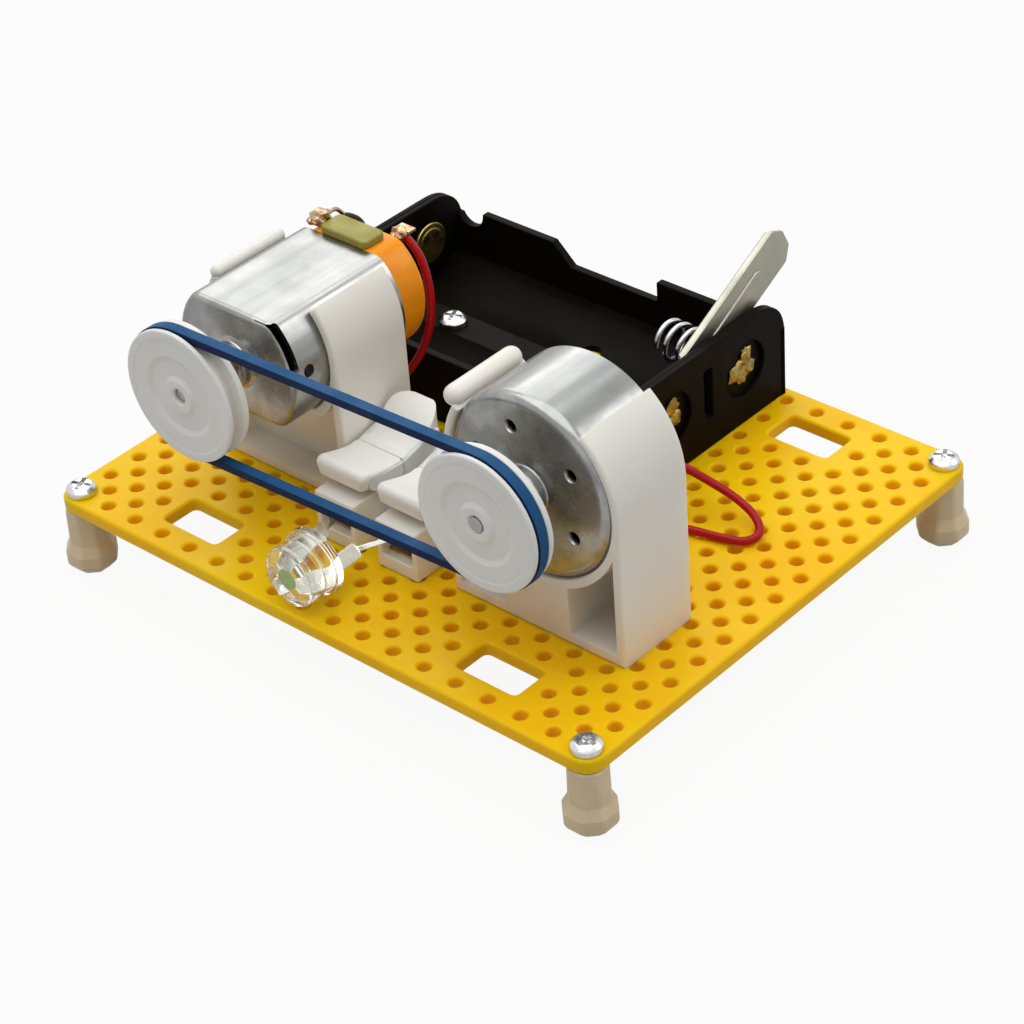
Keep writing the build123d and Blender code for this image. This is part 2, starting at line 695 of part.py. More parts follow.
BELT_IN = GROOVE_R + AIR
belt_left = DRIVE_PULLEY_Y + PULLEY_W / 2
belt_right = GEN_PULLEY_Y + PULLEY_W / 2
with BuildPart() as drive_belt:
    for x, y, start in ((DRIVE_X, belt_left, 90), (GEN_X, belt_right, -90)):
        with BuildSketch(facing_front(x, y, AXIS_H)):
            with BuildLine():
                near = CenterArc((0, 0), BELT_IN, start, 180)
                far = CenterArc((0, 0), BELT_IN + BELT_T, start, 180)
                Line(near @ 0, far @ 0)
                Line(near @ 1, far @ 1)
            make_face()
        extrude(amount=BELT_W / 2, both=True)
    for side in (-1, 1):
        h = AXIS_H + side * (BELT_IN + BELT_T / 2)
        with BuildSketch(facing_right(DRIVE_X, belt_left, h), facing_right(GEN_X, belt_right, h)):
            Rectangle(BELT_W, BELT_T)
        loft(ruled=True)
save(drive_belt, "drive_belt")

# ================================================================== battery box
with BuildPart() as battery_box:
    inside_w = BOX_W - 2 * BOX_WALL
    # end walls, each with one rounded corner at the back
    for x, tall in ((BOX_LEFT, BOX_LEFT_H), (END_FACE, BOX_RIGHT_H)):
        with BuildSketch(facing_right(x, BOX_Y)) as wall:
            Rectangle(BOX_W, tall, align=(Align.CENTER, Align.MIN))
            fillet(wall.vertices().group_by(Axis.Y)[-1].sort_by(Axis.X)[-1], BOX_CORNER)
        extrude(amount=BOX_END)
    # front wall
    with BuildSketch(facing_front(BOX_LEFT, BOX_FRONT)):
        Rectangle(BOX_L, BOX_SIDE_H, align=(Align.MIN, Align.MIN))
    extrude(amount=-BOX_WALL)
    # back wall with its notch and its dip
    with BuildSketch(facing_front(BOX_LEFT, BOX_BACK)):
        with BuildLine():
            Polyline((0, 0), (0, NOTCH_H), (6.1, NOTCH_H), (6.3, BOX_SIDE_H), (19.2, BOX_SIDE_H),
                     (22.4, DIP_H), (37.4, DIP_H), (37.4, BOX_SIDE_H), (BOX_L, BOX_SIDE_H),
                     (BOX_L, 0), close=True)
        make_face()
    extrude(amount=BOX_WALL)
    # floor with a ridge between the two cradles
    with BuildSketch(facing_right(BOX_LEFT, BOX_Y)):
        Rectangle(BOX_W, RIDGE_H, align=(Align.CENTER, Align.MIN))
        with Locations((-CELL_PITCH / 2, CELL_H), (CELL_PITCH / 2, CELL_H)):
            Circle(CRADLE_R, mode=Mode.SUBTRACT)
    extrude(amount=BOX_L)
    # what the cells and their contacts need cut out of the end walls
    cells = [(CELL_FRONT - BOX_Y, CELL_H), (CELL_BACK - BOX_Y, CELL_H)]
    with BuildSketch(facing_right(BOX_RIGHT, BOX_Y), facing_right(BOX_LEFT + RECESS_D, BOX_Y)):
        with Locations(*cells):
            Circle(RECESS_R)
    extrude(amount=-RECESS_D, mode=Mode.SUBTRACT)
    with BuildSketch(facing_right(BOX_LEFT, BOX_Y)):
        with Locations(*cells):
            Circle(RIVET_R + SEAT)
    extrude(amount=BOX_L, mode=Mode.SUBTRACT)
    with BuildSketch(facing_right(END_FACE, BOX_Y, CELL_H)):
        Rectangle(1.7, 7.6)
    extrude(amount=BOX_END, mode=Mode.SUBTRACT)
    # holes in the floor: two screws, two spare
    with BuildSketch(up_from(0, 0)):
        with Locations(*BOX_SCREWS):
            Circle(SCREW_R + RUN)
        with Locations((BOX_X + 2.6, CELL_BACK), (BOX_X - 2.6, CELL_FRONT)):
            Circle(1.5)
    extrude(amount=RIDGE_H, mode=Mode.SUBTRACT)
    # room over the leg screw at the corner
    with BuildSketch(up_from(-LEG_X, LEG_Y)):
        Circle(SCREW_HEAD_R + AIR)
    extrude(amount=SCREW_HEAD_T + AIR, mode=Mode.SUBTRACT)
save(battery_box, "battery_box")

with BuildPart() as box_screws:
    for x, y in BOX_SCREWS:
        add(screw(x, y, RIDGE_H, RIDGE_H + PLATE_T))
save(box_screws, "box_screws")


def contact(y, plate_x, side):
    """Riveted cell contact; side is +1 at the right end wall, -1 at the left one."""
    head_x = (BOX_RIGHT if side > 0 else BOX_LEFT) - side * RECESS_D
    with BuildPart() as one:
        with BuildSketch(facing_right(plate_x, y, CELL_H)):
            Circle(CONTACT_R)
        extrude(amount=side * CONTACT_T)
        with BuildSketch(facing_right(plate_x, y, CELL_H)):
            Circle(RIVET_R)
        extrude(amount=head_x - plate_x)
        with BuildSketch(facing_right(head_x, y, CELL_H)):
            RegularPolygon(RIVET_HEAD_R, 8)
        extrude(amount=side * CONTACT_T)
    return one.part


LEFT_FACE = BOX_LEFT + BOX_END
BUTTON_X = LEFT_FACE + 1.5 + CONTACT_T
with BuildPart() as contact_front_right:
    add(contact(CELL_FRONT, CONTACT_X, 1))
save(contact_front_right, "contact_front_right")

with BuildPart() as contact_back_right:
    add(contact(CELL_BACK, CONTACT_X, 1))
save(contact_back_right, "contact_back_right")

with BuildPart() as contact_back_left:
    add(contact(CELL_BACK, BUTTON_X, -1))
save(contact_back_left, "contact_back_left")

with BuildPart() as contact_front_left:
    add(contact(CELL_FRONT, LEFT_FACE + CONTACT_T + SNUG, -1))
save(contact_front_left, "contact_front_left")


def biarc(p0, t0, p1, t1):
    """Two arcs from p0 along t0 to p1 along t1, tangent where they meet."""
    v = p1 - p0
    t = t0 + t1
    side = 2 * (1 - t0.dot(t1))
    reach = (-v.dot(t) + math.sqrt(v.dot(t) ** 2 + side * v.dot(v))) / side
    joint = (p0 + t0 * reach + p1 - t1 * reach) * 0.5
    for start, leave, end in ((p0, t0, joint), (p1, t1 * -1, joint)):
        chord = (end - start).normalized()
        lean = (leave + chord).normalized()
        middle = start + lean * ((end - start).length / 2 / lean.dot(chord))
        if start is p0:
            ThreePointArc(start, middle, end)
        else:
            ThreePointArc(end, middle, start)


def spring_path(x, y, side):
    """Helix from a contact plate at x towards the cell, square to the plate at its root."""
    pitch = 2 * (SPRING_L - 2 * SPRING_WIRE) / (SPRING_HALF_TURNS + 0.5)
    rise = pitch / (2 * math.pi)
    centre = spot(x, y, CELL_H)
    away = Vector(-side, 0, 0)
    radius = SPRING_R - SPRING_WIRE / 2

    def at(turns):
        a = 2 * math.pi * turns
        out = Vector(0, math.cos(a), math.sin(a)) * radius
        return centre + out + away * (2 * SPRING_WIRE + pitch * turns)

    def along(turns):
        a = 2 * math.pi * turns
        return (Vector(0, -math.sin(a), math.cos(a)) * radius + away * rise).normalized()

    root = at(0) - away * (2 * SPRING_WIRE)
    with BuildLine() as path:
        Line(root, root + away * SPRING_WIRE)
        biarc(root + away * SPRING_WIRE, away, at(0.25), along(0.25))
        for n in range(SPRING_HALF_TURNS):
            biarc(at(0.25 + n / 2), along(0.25 + n / 2), at(0.75 + n / 2), along(0.75 + n / 2))
        last = 0.25 + SPRING_HALF_TURNS / 2
        Line(at(last), at(last) + along(last) * SPRING_WIRE)
    return path.wire()


def tube(path, radius, sides):
    """A faceted tube along a path."""
    with BuildPart() as one:
        with BuildSketch(Plane(origin=path @ 0, z_dir=path % 0)):
            RegularPolygon(radius, sides)
        sweep(path=path)
    section = sides * radius ** 2 * math.sin(2 * math.pi / sides) / 2
    print("tube volume over section times length",
          round(one.part.volume / section / path.length, 4))
    return one.part


spring_turn = 2 * (SPRING_L - 2 * SPRING_WIRE) / (SPRING_HALF_TURNS + 0.5)
print("spring: least gap between turns", round(spring_turn - SPRING_WIRE, 2))
with BuildPart() as battery_spring_back:
    add(tube(spring_path(CONTACT_X, CELL_BACK, 1), SPRING_WIRE / 2, 6))
save(battery_spring_back, "battery_spring_back")

with BuildPart() as battery_spring_front:
    add(tube(spring_path(LEFT_FACE + CONTACT_T + SNUG, CELL_FRONT, -1), SPRING_WIRE / 2, 6))
save(battery_spring_front, "battery_spring_front")

# knife switch blade: turns on the front rivet, closes on the back one
tilt = math.radians(BLADE_REST)
blade_plane = Plane(origin=spot(BLADE_X, CELL_FRONT, CELL_H),
                    x_dir=(0, math.cos(tilt), math.sin(tilt)), z_dir=(1, 0, 0))
LIP_FROM = 7.0
RIB_FROM = 9.0
RIB_L = 13.0
RIB_W = 1.6
RIB_T = 0.2
TIP_CUT = 1.6
with BuildPart() as switch_blade:
    with BuildSketch(blade_plane) as outline:
        Rectangle(BLADE_L, BLADE_W, align=(Align.MIN, Align.CENTER))
        chamfer(outline.vertices().group_by(Axis.X)[-1], TIP_CUT)
        Circle(BLADE_W / 2)
        Circle(RIVET_R + RUN, mode=Mode.SUBTRACT)
    extrude(amount=BLADE_T)
    with BuildSketch(blade_plane):
        with Locations((LIP_FROM, BLADE_W / 2)):
            Rectangle(BLADE_L - TIP_CUT - LIP_FROM, BLADE_T, align=(Align.MIN, Align.MAX))
    extrude(amount=-BLADE_LIP)
    with BuildSketch(blade_plane.offset(BLADE_T)):
        with Locations((RIB_FROM + RIB_L / 2, 0)):
            SlotOverall(RIB_L, RIB_W)
    extrude(amount=RIB_T)
save(switch_blade, "switch_blade")

# ================================================================== terminal block
block_front = BLOCK_Y - BLOCK_L / 2
with BuildPart() as terminal_block:
    with BuildSketch(up_from(BLOCK_X, BLOCK_Y)):
        with Locations((-COLUMN_PITCH / 2, 0), (COLUMN_PITCH / 2, 0)):
            Rectangle(COLUMN_W, BLOCK_L)
    extrude(amount=COLUMN_H)
    with BuildSketch(up_from(BLOCK_X, BLOCK_Y)):
        Rectangle(COLUMN_PITCH, BLOCK_L - 7.0)
    extrude(amount=WEB_H)
    for y, into in ((block_front, -1), (block_front + BLOCK_L, 1)):
        with BuildSketch(facing_front(BLOCK_X, y, WINDOW_LOW)):
            with Locations((-COLUMN_PITCH / 2, 0), (COLUMN_PITCH / 2, 0)):
                Rectangle(WINDOW_W, WINDOW_H, align=(Align.CENTER, Align.MIN))
        extrude(amount=into * (BLOCK_L / 2 - 0.6), mode=Mode.SUBTRACT)
    for x in COLUMN_X:
        for y in (BLOCK_Y - PIVOT_AT, BLOCK_Y + PIVOT_AT):
            for face in (-1, 1):
                with BuildSketch(facing_right(x + face * COLUMN_W / 2, y, PIVOT_H)):
                    Circle(PIVOT_R)
                extrude(amount=face * (LEVER_W - COLUMN_W) / 2)
    with BuildSketch(up_from(BLOCK_SCREW[0], BLOCK_SCREW[1])):
        Circle(SCREW_R + RUN)
    extrude(amount=WEB_H - 0.6, mode=Mode.SUBTRACT)
save(terminal_block, "terminal_block")

with BuildPart() as terminal_block_screw:
    add(screw(*BLOCK_SCREW, -PLATE_T, PLATE_T + WEB_H - 0.8, facing=-1))
save(terminal_block_screw, "terminal_block_screw")

STRIP_T = 0.4
with BuildPart() as terminal_clamps:
    for x in COLUMN_X:
        for out in (-1, 1):
            middle = BLOCK_Y + out * (BLOCK_L / 4 + 0.3)
            with BuildSketch(up_from(x, middle, WINDOW_LOW)):
                Rectangle(WINDOW_W - 2 * SNUG, BLOCK_L / 2 - 3.0)
            extrude(amount=STRIP_T)
save(terminal_clamps, "terminal_clamps")

# lever outlines: distance out from the block's middle, height over the plate
FRONT_LEVER = [(0.3, 7.5), (0.3, 9.8), (3.0, 10.0), (4.4, 10.7), (6.2, 10.9), (6.2, 8.7),
               (4.4, 8.6), (3.3, 7.5)]
BACK_LEVER = [(0.3, 7.5), (0.3, 9.9), (2.0, 10.1), (4.0, 11.4), (5.8, 12.7), (8.6, 13.0),
              (8.6, 10.6), (5.6, 8.9), (4.2, 8.6), (3.3, 7.5)]
for side, out, shape, corner in (("front", -1, FRONT_LEVER, 0.8), ("back", 1, BACK_LEVER, 3.4)):
    for place, x in (("left", COLUMN_X[0]), ("right", COLUMN_X[1])):
        with BuildPart() as lever:
            with BuildSketch(facing_right(x, BLOCK_Y)):
                with BuildLine():
                    Polyline(*[(out * u, v) for u, v in shape], close=True)
                make_face()
            extrude(amount=LEVER_W / 2, both=True)
            far = lever.faces().filter_by(Axis.Y).sort_by(Axis.Y)[-1 if out > 0 else 0]
            fillet(far.edges().filter_by(Axis.Z), corner)
            with BuildSketch(facing_right(x, BLOCK_Y)):
                with Locations((out * PIVOT_AT, PIVOT_H)):
                    Circle(CHEEK_R)
                    Rectangle(2 * CHEEK_R, shape[1][1] - PIVOT_H - 0.5,
                              align=(Align.CENTER, Align.MIN))
            extrude(amount=LEVER_W / 2, both=True)
            with BuildSketch(facing_right(x, BLOCK_Y)):
                Rectangle(BLOCK_L, COLUMN_H + 0.5, align=(Align.CENTER, Align.MIN))
            extrude(amount=COLUMN_W / 2 + LEVER_SIDE, both=True, mode=Mode.SUBTRACT)
            with BuildSketch(facing_right(x, BLOCK_Y)):
                with Locations((out * PIVOT_AT, PIVOT_H)):
                    Circle(PIVOT_R + RUN)
            extrude(amount=LEVER_W / 2, both=True, mode=Mode.SUBTRACT)
        save(lever, f"terminal_lever_{side}_{place}")

# ================================================================== LED
led_back = facing_right(BLOCK_X, LED_BACK, LED_H)
with BuildPart() as led_lens:
    with BuildSketch(led_back):
        with BuildLine():
            rim = Polyline((0, 0), (0, LED_FLANGE_R), (-LED_FLANGE_T, LED_FLANGE_R),
                           (-LED_FLANGE_T, LED_R), (LED_DOME - LED_L, LED_R))
            ball = (LED_DOME ** 2 + LED_R ** 2) / 2 / LED_DOME
            reach = ball - math.sqrt(ball ** 2 - LED_R ** 2 / 4) - LED_L
            dome = ThreePointArc(rim @ 1, (reach, LED_R / 2), (-LED_L, 0))
            Line(dome @ 1, rim @ 0)
        make_face()
    revolve(axis=Axis(led_back.origin, (0, 1, 0)))
    with BuildSketch(facing_front(BLOCK_X, LED_BACK, LED_H)):
        Circle(LED_CUP_R + SEAT)
    extrude(amount=LED_CUP_L + SEAT, mode=Mode.SUBTRACT)
save(led_lens, "led_lens")

with BuildPart() as led_phosphor:
    with BuildSketch(facing_front(BLOCK_X, LED_BACK, LED_H)):
        Circle(LED_CUP_R)
    extrude(amount=LED_CUP_L)
save(led_phosphor, "led_phosphor")

LEAD_HALF = 1.27
LEAD_TWIST = math.radians(50)
up_x = LEAD_HALF * math.sin(LEAD_TWIST)
up_h = LEAD_HALF * math.cos(LEAD_TWIST)
LEAD_BEND = 1.0
with BuildPart() as led_leads:
    ends = ((-up_x, up_h, COLUMN_X[0] + 0.5), (up_x, -up_h, COLUMN_X[1] - 0.6))
    for dx, dh, column in ends:
        with BuildLine() as route:
            FilletPolyline(spot(BLOCK_X + dx, LED_BACK, LED_H + dh),
                           spot(BLOCK_X + dx, LED_BACK + 2.4, LED_H + dh),
                           spot(column, block_front - 0.6, 4.7),
                           spot(column, block_front + 3.0, 4.3), radius=LEAD_BEND)
        path = route.wire()
        with BuildSketch(Plane(origin=path @ 0, x_dir=(1, 0, 0), z_dir=path % 0)):
            Rectangle(LEAD_SIDE, LEAD_SIDE)
        sweep(path=path)
save(led_leads, "led_leads")

# ================================================================== leads
MOTOR_RED = [(-19.8, 4.3, 27.4), (-17.0, 5.0, 25.9), (-15.0, 4.9, 22.0), (-14.3, 3.9, 17.4),
             (-15.2, 2.5, 12.8), (-17.8, 1.3, 8.4), (-21.8, 0.7, 5.0), (-27.0, 0.4, 2.6),
             (-32.6, 0.5, 1.3), (-38.2, 1.2, 1.1), (-42.2, 3.4, 1.3), (-43.4, 7.6, 1.6),
             (-43.3, 13.0, 1.4), (-43.4, 18.8, 2.0), (-43.3, 24.0, 4.2), (-42.6, 27.2, 7.4)]
MOTOR_BLACK = [(-28.9, 1.2, 29.6), (-28.8, 4.4, 29.3), (-28.6, 6.6, 27.2), (-28.3, 7.0, 23.6),
               (-28.6, 5.2, 18.6), (-29.9, 3.9, 14.0), (-32.4, 1.9, 9.4), (-36.2, 1.7, 6.0),
               (-40.4, 2.4, 4.4), (-43.2, 4.8, 4.3), (-43.5, 8.6, 5.6), (-42.6, 12.0, 7.6)]
GEN_RED = [(18.1, -7.4, 24.0), (18.2, -3.6, 22.6), (18.6, -0.4, 18.4), (19.2, 3.2, 13.0),
           (20.4, 6.6, 8.0), (23.8, 9.4, 4.8), (28.4, 10.4, 3.0), (31.8, 10.2, 1.6),
           (34.0, 8.4, 0.9), (33.4, 6.0, 0.65), (30.0, 5.0, 0.65), (25.0, 3.9, 0.65),
           (18.6, 1.2, 0.7), (12.2, -1.6, 0.8), (7.0, -2.4, 1.1), (4.0, -3.6, 2.4),
           (2.8, -6.4, 3.8), (2.8, -9.2, 4.2)]
GEN_BLACK = [(29.1, -7.4, 24.0), (28.8, -4.2, 22.2), (27.2, -3.2, 17.4), (24.2, -2.8, 12.0),
             (20.0, -2.2, 7.4), (14.8, -0.9, 4.4), (8.6, 0.9, 2.9), (2.2, 1.5, 2.2),
             (-3.2, 0.6, 2.0), (-6.6, -2.2, 2.7), (-7.5, -6.0, 3.8), (-7.6, -9.4, 4.2)]


def lead_path(name, points):
    """Straight runs joined by arcs as large as the runs allow."""
    ends = [spot(*p) for p in points]
    radii = []
    for a, b, c in zip(ends, ends[1:], ends[2:]):
        turn = math.radians((b - a).get_angle(c - b))
        radii.append(0.45 * min((b - a).length, (c - b).length) / math.tan(turn / 2))
    print(name, "radii", [round(r, 1) for r in radii])
    with BuildLine() as path:
        FilletPolyline(*ends, radius=radii)
    return path.wire()


with BuildPart() as motor_lead_red:
    add(tube(lead_path("motor_lead_red", MOTOR_RED), WIRE_R, 8))
save(motor_lead_red, "motor_lead_red")

with BuildPart() as motor_lead_black:
    add(tube(lead_path("motor_lead_black", MOTOR_BLACK), WIRE_R, 8))
save(motor_lead_black, "motor_lead_black")

with BuildPart() as generator_lead_red:
    add(tube(lead_path("generator_lead_red", GEN_RED), WIRE_R, 8))
save(generator_lead_red, "generator_lead_red")

with BuildPart() as generator_lead_black:
    add(tube(lead_path("generator_lead_black", GEN_BLACK), WIRE_R, 8))
save(generator_lead_black, "generator_lead_black")

print("belt clear of the groove by", AIR, "and of each rim by",
      round((PULLEY_W - 2 * RIM_W - BELT_W) / 2, 2))
print("running clearance of shafts", RUN, "blade beside contact and wall", BLADE_GAP)
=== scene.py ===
# %% [markdown]
# # A demonstration electric motor
# A perforated yellow plate carries a battery box with a knife switch, a flat-sided motor that drives a
# round one through a blue rubber belt, a lever terminal block and an LED.
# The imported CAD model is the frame: it says where every part is and what it moves with. This lesson dresses
# it. Where the CAD shape is already right it keeps its mesh and only gets a finish; where the real
# part is rounder, softer or finer, a detailed piece is built and takes the CAD part's place.

import json
import math

import bmesh
import bpy
from mathutils import Matrix, Vector, noise


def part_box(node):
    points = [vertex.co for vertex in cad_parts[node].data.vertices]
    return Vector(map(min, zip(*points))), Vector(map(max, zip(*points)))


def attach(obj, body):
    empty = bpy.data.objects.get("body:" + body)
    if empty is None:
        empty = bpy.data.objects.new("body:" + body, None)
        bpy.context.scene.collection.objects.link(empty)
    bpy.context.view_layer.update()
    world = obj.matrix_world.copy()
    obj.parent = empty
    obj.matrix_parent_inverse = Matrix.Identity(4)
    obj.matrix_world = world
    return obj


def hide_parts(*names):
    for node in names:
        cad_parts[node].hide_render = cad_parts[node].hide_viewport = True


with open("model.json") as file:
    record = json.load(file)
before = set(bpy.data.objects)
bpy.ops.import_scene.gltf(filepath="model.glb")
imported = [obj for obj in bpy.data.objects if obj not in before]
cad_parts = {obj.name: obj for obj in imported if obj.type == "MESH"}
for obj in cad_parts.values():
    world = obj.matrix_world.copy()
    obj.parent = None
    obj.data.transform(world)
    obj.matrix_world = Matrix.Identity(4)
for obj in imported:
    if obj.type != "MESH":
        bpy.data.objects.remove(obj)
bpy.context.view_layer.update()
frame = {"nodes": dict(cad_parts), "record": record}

# %% [markdown]
# ## Places
# The CAD model counts from the middle of the base plate, and heights from the plate's top face. The plate's
# own box gives both, so the scene needs no copy of them. Sizes are written in millimetres and
# turned into metres at the last moment.

# %% Places
MM = 0.001
plate_low, plate_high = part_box("base_plate")
PLATE_MIDDLE = (plate_low + plate_high) / 2
PLATE_TOP = plate_high.z
RIGHT, FRONT, BACK, UP = Vector((1, 0, 0)), Vector((0, -1, 0)), Vector((0, 1, 0)), Vector((0, 0, 1))


def spot(x, y, h=0.0):
    """A point given in millimetres from the plate's middle and over its top face."""
    return Vector((x * MM, PLATE_MIDDLE.y + y * MM, PLATE_TOP + h * MM))


def node_size(node):
    """Middle and size of a CAD node, in millimetres; the middle as spot() takes it."""
    low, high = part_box(node)
    middle = (low + high) / 2
    at = (middle.x / MM, (middle.y - PLATE_MIDDLE.y) / MM, (middle.z - PLATE_TOP) / MM)
    return Vector(at), (high - low) / MM


drive_middle, pulley_size = node_size("drive_pulley")
gen_middle = node_size("generator_pulley")[0]
AXIS_H = drive_middle.z
DRIVE_X, GEN_X = drive_middle.x, gen_middle.x
print("motor axes at", round(DRIVE_X, 2), round(GEN_X, 2), "height", round(AXIS_H, 2))

# %% [markdown]
# ## Camera
# The viewing angle was worked out from the lattice of holes in the plate: their even spacing gives the
# direction, the distance and the focal length. The picture is rolled a little, so the camera is too.

# %% Camera
AZIMUTH, ELEVATION, ROLL = math.radians(43.86), math.radians(35.32), math.radians(-4.39)
DISTANCE = 0.3858
TARGET = Vector((5.25, -6.65, 11.5)) * MM
back = Vector((math.sin(AZIMUTH) * math.cos(ELEVATION), -math.cos(AZIMUTH) * math.cos(ELEVATION),
               math.sin(ELEVATION)))
level = Vector((math.cos(AZIMUTH), math.sin(AZIMUTH), 0))
upright = back.cross(level)
across = level * math.cos(ROLL) + upright * math.sin(ROLL)
above = back.cross(across)

camera_data = bpy.data.cameras.new("studio_camera")
camera_data.lens = 108.1
camera_data.sensor_width = 36.0
camera_data.clip_start, camera_data.clip_end = 0.02, 10.0
camera = bpy.data.objects.new("studio_camera", camera_data)
camera.matrix_world = Matrix.Translation(TARGET + back * DISTANCE) @ Matrix(
    (across, above, back)).transposed().to_4x4()
bpy.context.scene.collection.objects.link(camera)
bpy.context.scene.camera = camera
print("camera at", [round(v, 4) for v in camera.matrix_world.translation])

# %% [markdown]
# ## Effects shared by the finishes
# No moulded or plated surface is one flat colour. Four effects do the work, and each is built once as a node
# group and placed in every material that needs it, with its own numbers. `mottle` moves a colour gently
# towards a second one in soft patches, `grain` gives the height of a fine surface texture, `drawn` makes
# the long lines of drawn or rolled metal, and `dust` marks what settles on faces that look up. They
# read the object's own coordinates, which are metres, so their scales are real sizes.

# %% Small helpers to place and feed nodes
def place(tree, kind, links=None, **values):
    """Adds a node; values set its properties or inputs, links feed its inputs from other sockets."""
    made = tree.nodes.new(kind)
    for name, value in values.items():
        label = name.replace("_", " ").title()
        if label in made.inputs:
            made.inputs[label].default_value = value
        else:
            setattr(made, name, value)
    for name, socket in (links or {}).items():
        tree.links.new(socket, made.inputs[name])
    return made


def feed(tree, entry, value):
    """Gives an input a value, or a link where the value is another node's output."""
    if isinstance(value, bpy.types.NodeSocket):
        tree.links.new(value, entry)
    else:
        entry.default_value = value


def worked_out(tree, operation, one, other=0.5):
    """Output of a sum with two values, each a number or another node's output."""
    made = place(tree, "ShaderNodeMath", operation=operation)
    feed(tree, made.inputs[0], one)
    feed(tree, made.inputs[1], other)
    return made.outputs[0]


def mixed_colour(tree, share, one, other):
    """Output of two colours mixed; each is a colour or another node's output."""
    made = place(tree, "ShaderNodeMix", {"Factor": share}, data_type="RGBA")
    feed(tree, made.inputs[6], one)
    feed(tree, made.inputs[7], other)
    return made.outputs[2]


def effect(name, inputs, outputs):
    """An empty shader node group with named sockets; returns the group, its input and output nodes."""
    group = bpy.data.node_groups.new(name, "ShaderNodeTree")
    for label, kind, value in inputs:
        socket = group.interface.new_socket(label, in_out="INPUT", socket_type=kind)
        socket.default_value = value
    for label, kind in outputs:
        group.interface.new_socket(label, in_out="OUTPUT", socket_type=kind)
    return group, group.nodes.new("NodeGroupInput"), group.nodes.new("NodeGroupOutput")


FLOAT, COLOUR, VECTOR = "NodeSocketFloat", "NodeSocketColor", "NodeSocketVector"

# %% Mottle: a colour that drifts in soft patches
mottle, given, result = effect(
    "mottle",
    [("Colour", COLOUR, (0.5, 0.5, 0.5, 1)), ("Other", COLOUR, (0.4, 0.4, 0.4, 1)),
     ("Scale", FLOAT, 60.0), ("Amount", FLOAT, 0.5)],
    [("Colour", COLOUR), ("Mask", FLOAT)])
where = place(mottle, "ShaderNodeTexCoord")
patches = place(mottle, "ShaderNodeTexNoise", {"Vector": where.outputs["Object"],
                                               "Scale": given.outputs["Scale"]},
                detail=4.0, roughness=0.6)
mask = place(mottle, "ShaderNodeMapRange", {"Value": patches.outputs["Fac"]},
             from_min=0.35, from_max=0.65)
share = worked_out(mottle, "MULTIPLY", mask.outputs["Result"], given.outputs["Amount"])
mixed = mixed_colour(mottle, share, given.outputs["Colour"], given.outputs["Other"])
mottle.links.new(mixed, result.inputs["Colour"])
mottle.links.new(mask.outputs["Result"], result.inputs["Mask"])
print("effect", mottle.name)

# %% Grain: the height of a fine texture
grain, given, result = effect("grain", [("Scale", FLOAT, 1500.0), ("Coarse", FLOAT, 200.0),
                                        ("Share", FLOAT, 0.5)], [("Height", FLOAT)])
where = place(grain, "ShaderNodeTexCoord")
fine = place(grain, "ShaderNodeTexNoise", {"Vector": where.outputs["Object"],
                                           "Scale": given.outputs["Scale"]}, detail=2.0)
coarse = place(grain, "ShaderNodeTexNoise", {"Vector": where.outputs["Object"],
                                             "Scale": given.outputs["Coarse"]}, detail=2.0)
both = place(grain, "ShaderNodeMix", {"Factor": given.outputs["Share"], "A": fine.outputs["Fac"],
                                      "B": coarse.outputs["Fac"]})
grain.links.new(both.outputs["Result"], result.inputs["Height"])
print("effect", grain.name)

# %% Drawn: long fine lines, as on drawn or rolled metal
drawn, given, result = effect("drawn", [("Stretch", VECTOR, (1.0, 0.05, 1.0)),
                                        ("Scale", FLOAT, 900.0)], [("Lines", FLOAT)])
where = place(drawn, "ShaderNodeTexCoord")
drawn_out = place(drawn, "ShaderNodeVectorMath", {0: where.outputs["Object"],
                                                  1: given.outputs["Stretch"]},
                  operation="MULTIPLY")
lines = place(drawn, "ShaderNodeTexNoise", {"Vector": drawn_out.outputs["Vector"],
                                            "Scale": given.outputs["Scale"]}, detail=3.0)
drawn.links.new(lines.outputs["Fac"], result.inputs["Lines"])
print("effect", drawn.name)

# %% Dust: what settles on faces that look up
dust, given, result = effect("dust", [("Scale", FLOAT, 250.0), ("Amount", FLOAT, 0.3)],
                             [("Mask", FLOAT)])
facing = place(dust, "ShaderNodeNewGeometry")
height = place(dust, "ShaderNodeSeparateXYZ", {"Vector": facing.outputs["Normal"]})
looks_up = place(dust, "ShaderNodeMapRange", {"Value": height.outputs["Z"]}, from_min=0.5)
where = place(dust, "ShaderNodeTexCoord")
specks = place(dust, "ShaderNodeTexNoise", {"Vector": where.outputs["Object"],
                                            "Scale": given.outputs["Scale"]}, detail=6.0,
               roughness=0.7)
settled = place(dust, "ShaderNodeMapRange", {"Value": specks.outputs["Fac"]}, from_min=0.45,
                from_max=0.75)
here = worked_out(dust, "MULTIPLY", looks_up.outputs["Result"], settled.outputs["Result"])
settled_here = worked_out(dust, "MULTIPLY", here, given.outputs["Amount"])
dust.links.new(settled_here, result.inputs["Mask"])
print("effect", dust.name)

# %% [markdown]
# ## Finishes
# Plastics: a mottled colour, a roughness that follows the same patches, a fine grain as bump, and on some a
# little dust. Metals: the drawn lines move both roughness and height, and on the motor cans broad bands of
# painted dark reflection darken the colour too. One function makes each kind, and every slot of the record
# gets its own material from it, with the constants set on the shader itself.

# %% Moulded plastic and rubber
finishes = {}
DUST_COLOUR = (0.62, 0.6, 0.56, 1)


def start_finish(name):
    material = bpy.data.materials.new(name)
    material.use_nodes = True
    tree = material.node_tree
    finishes[name] = material
    return material, tree, tree.nodes["Principled BSDF"]


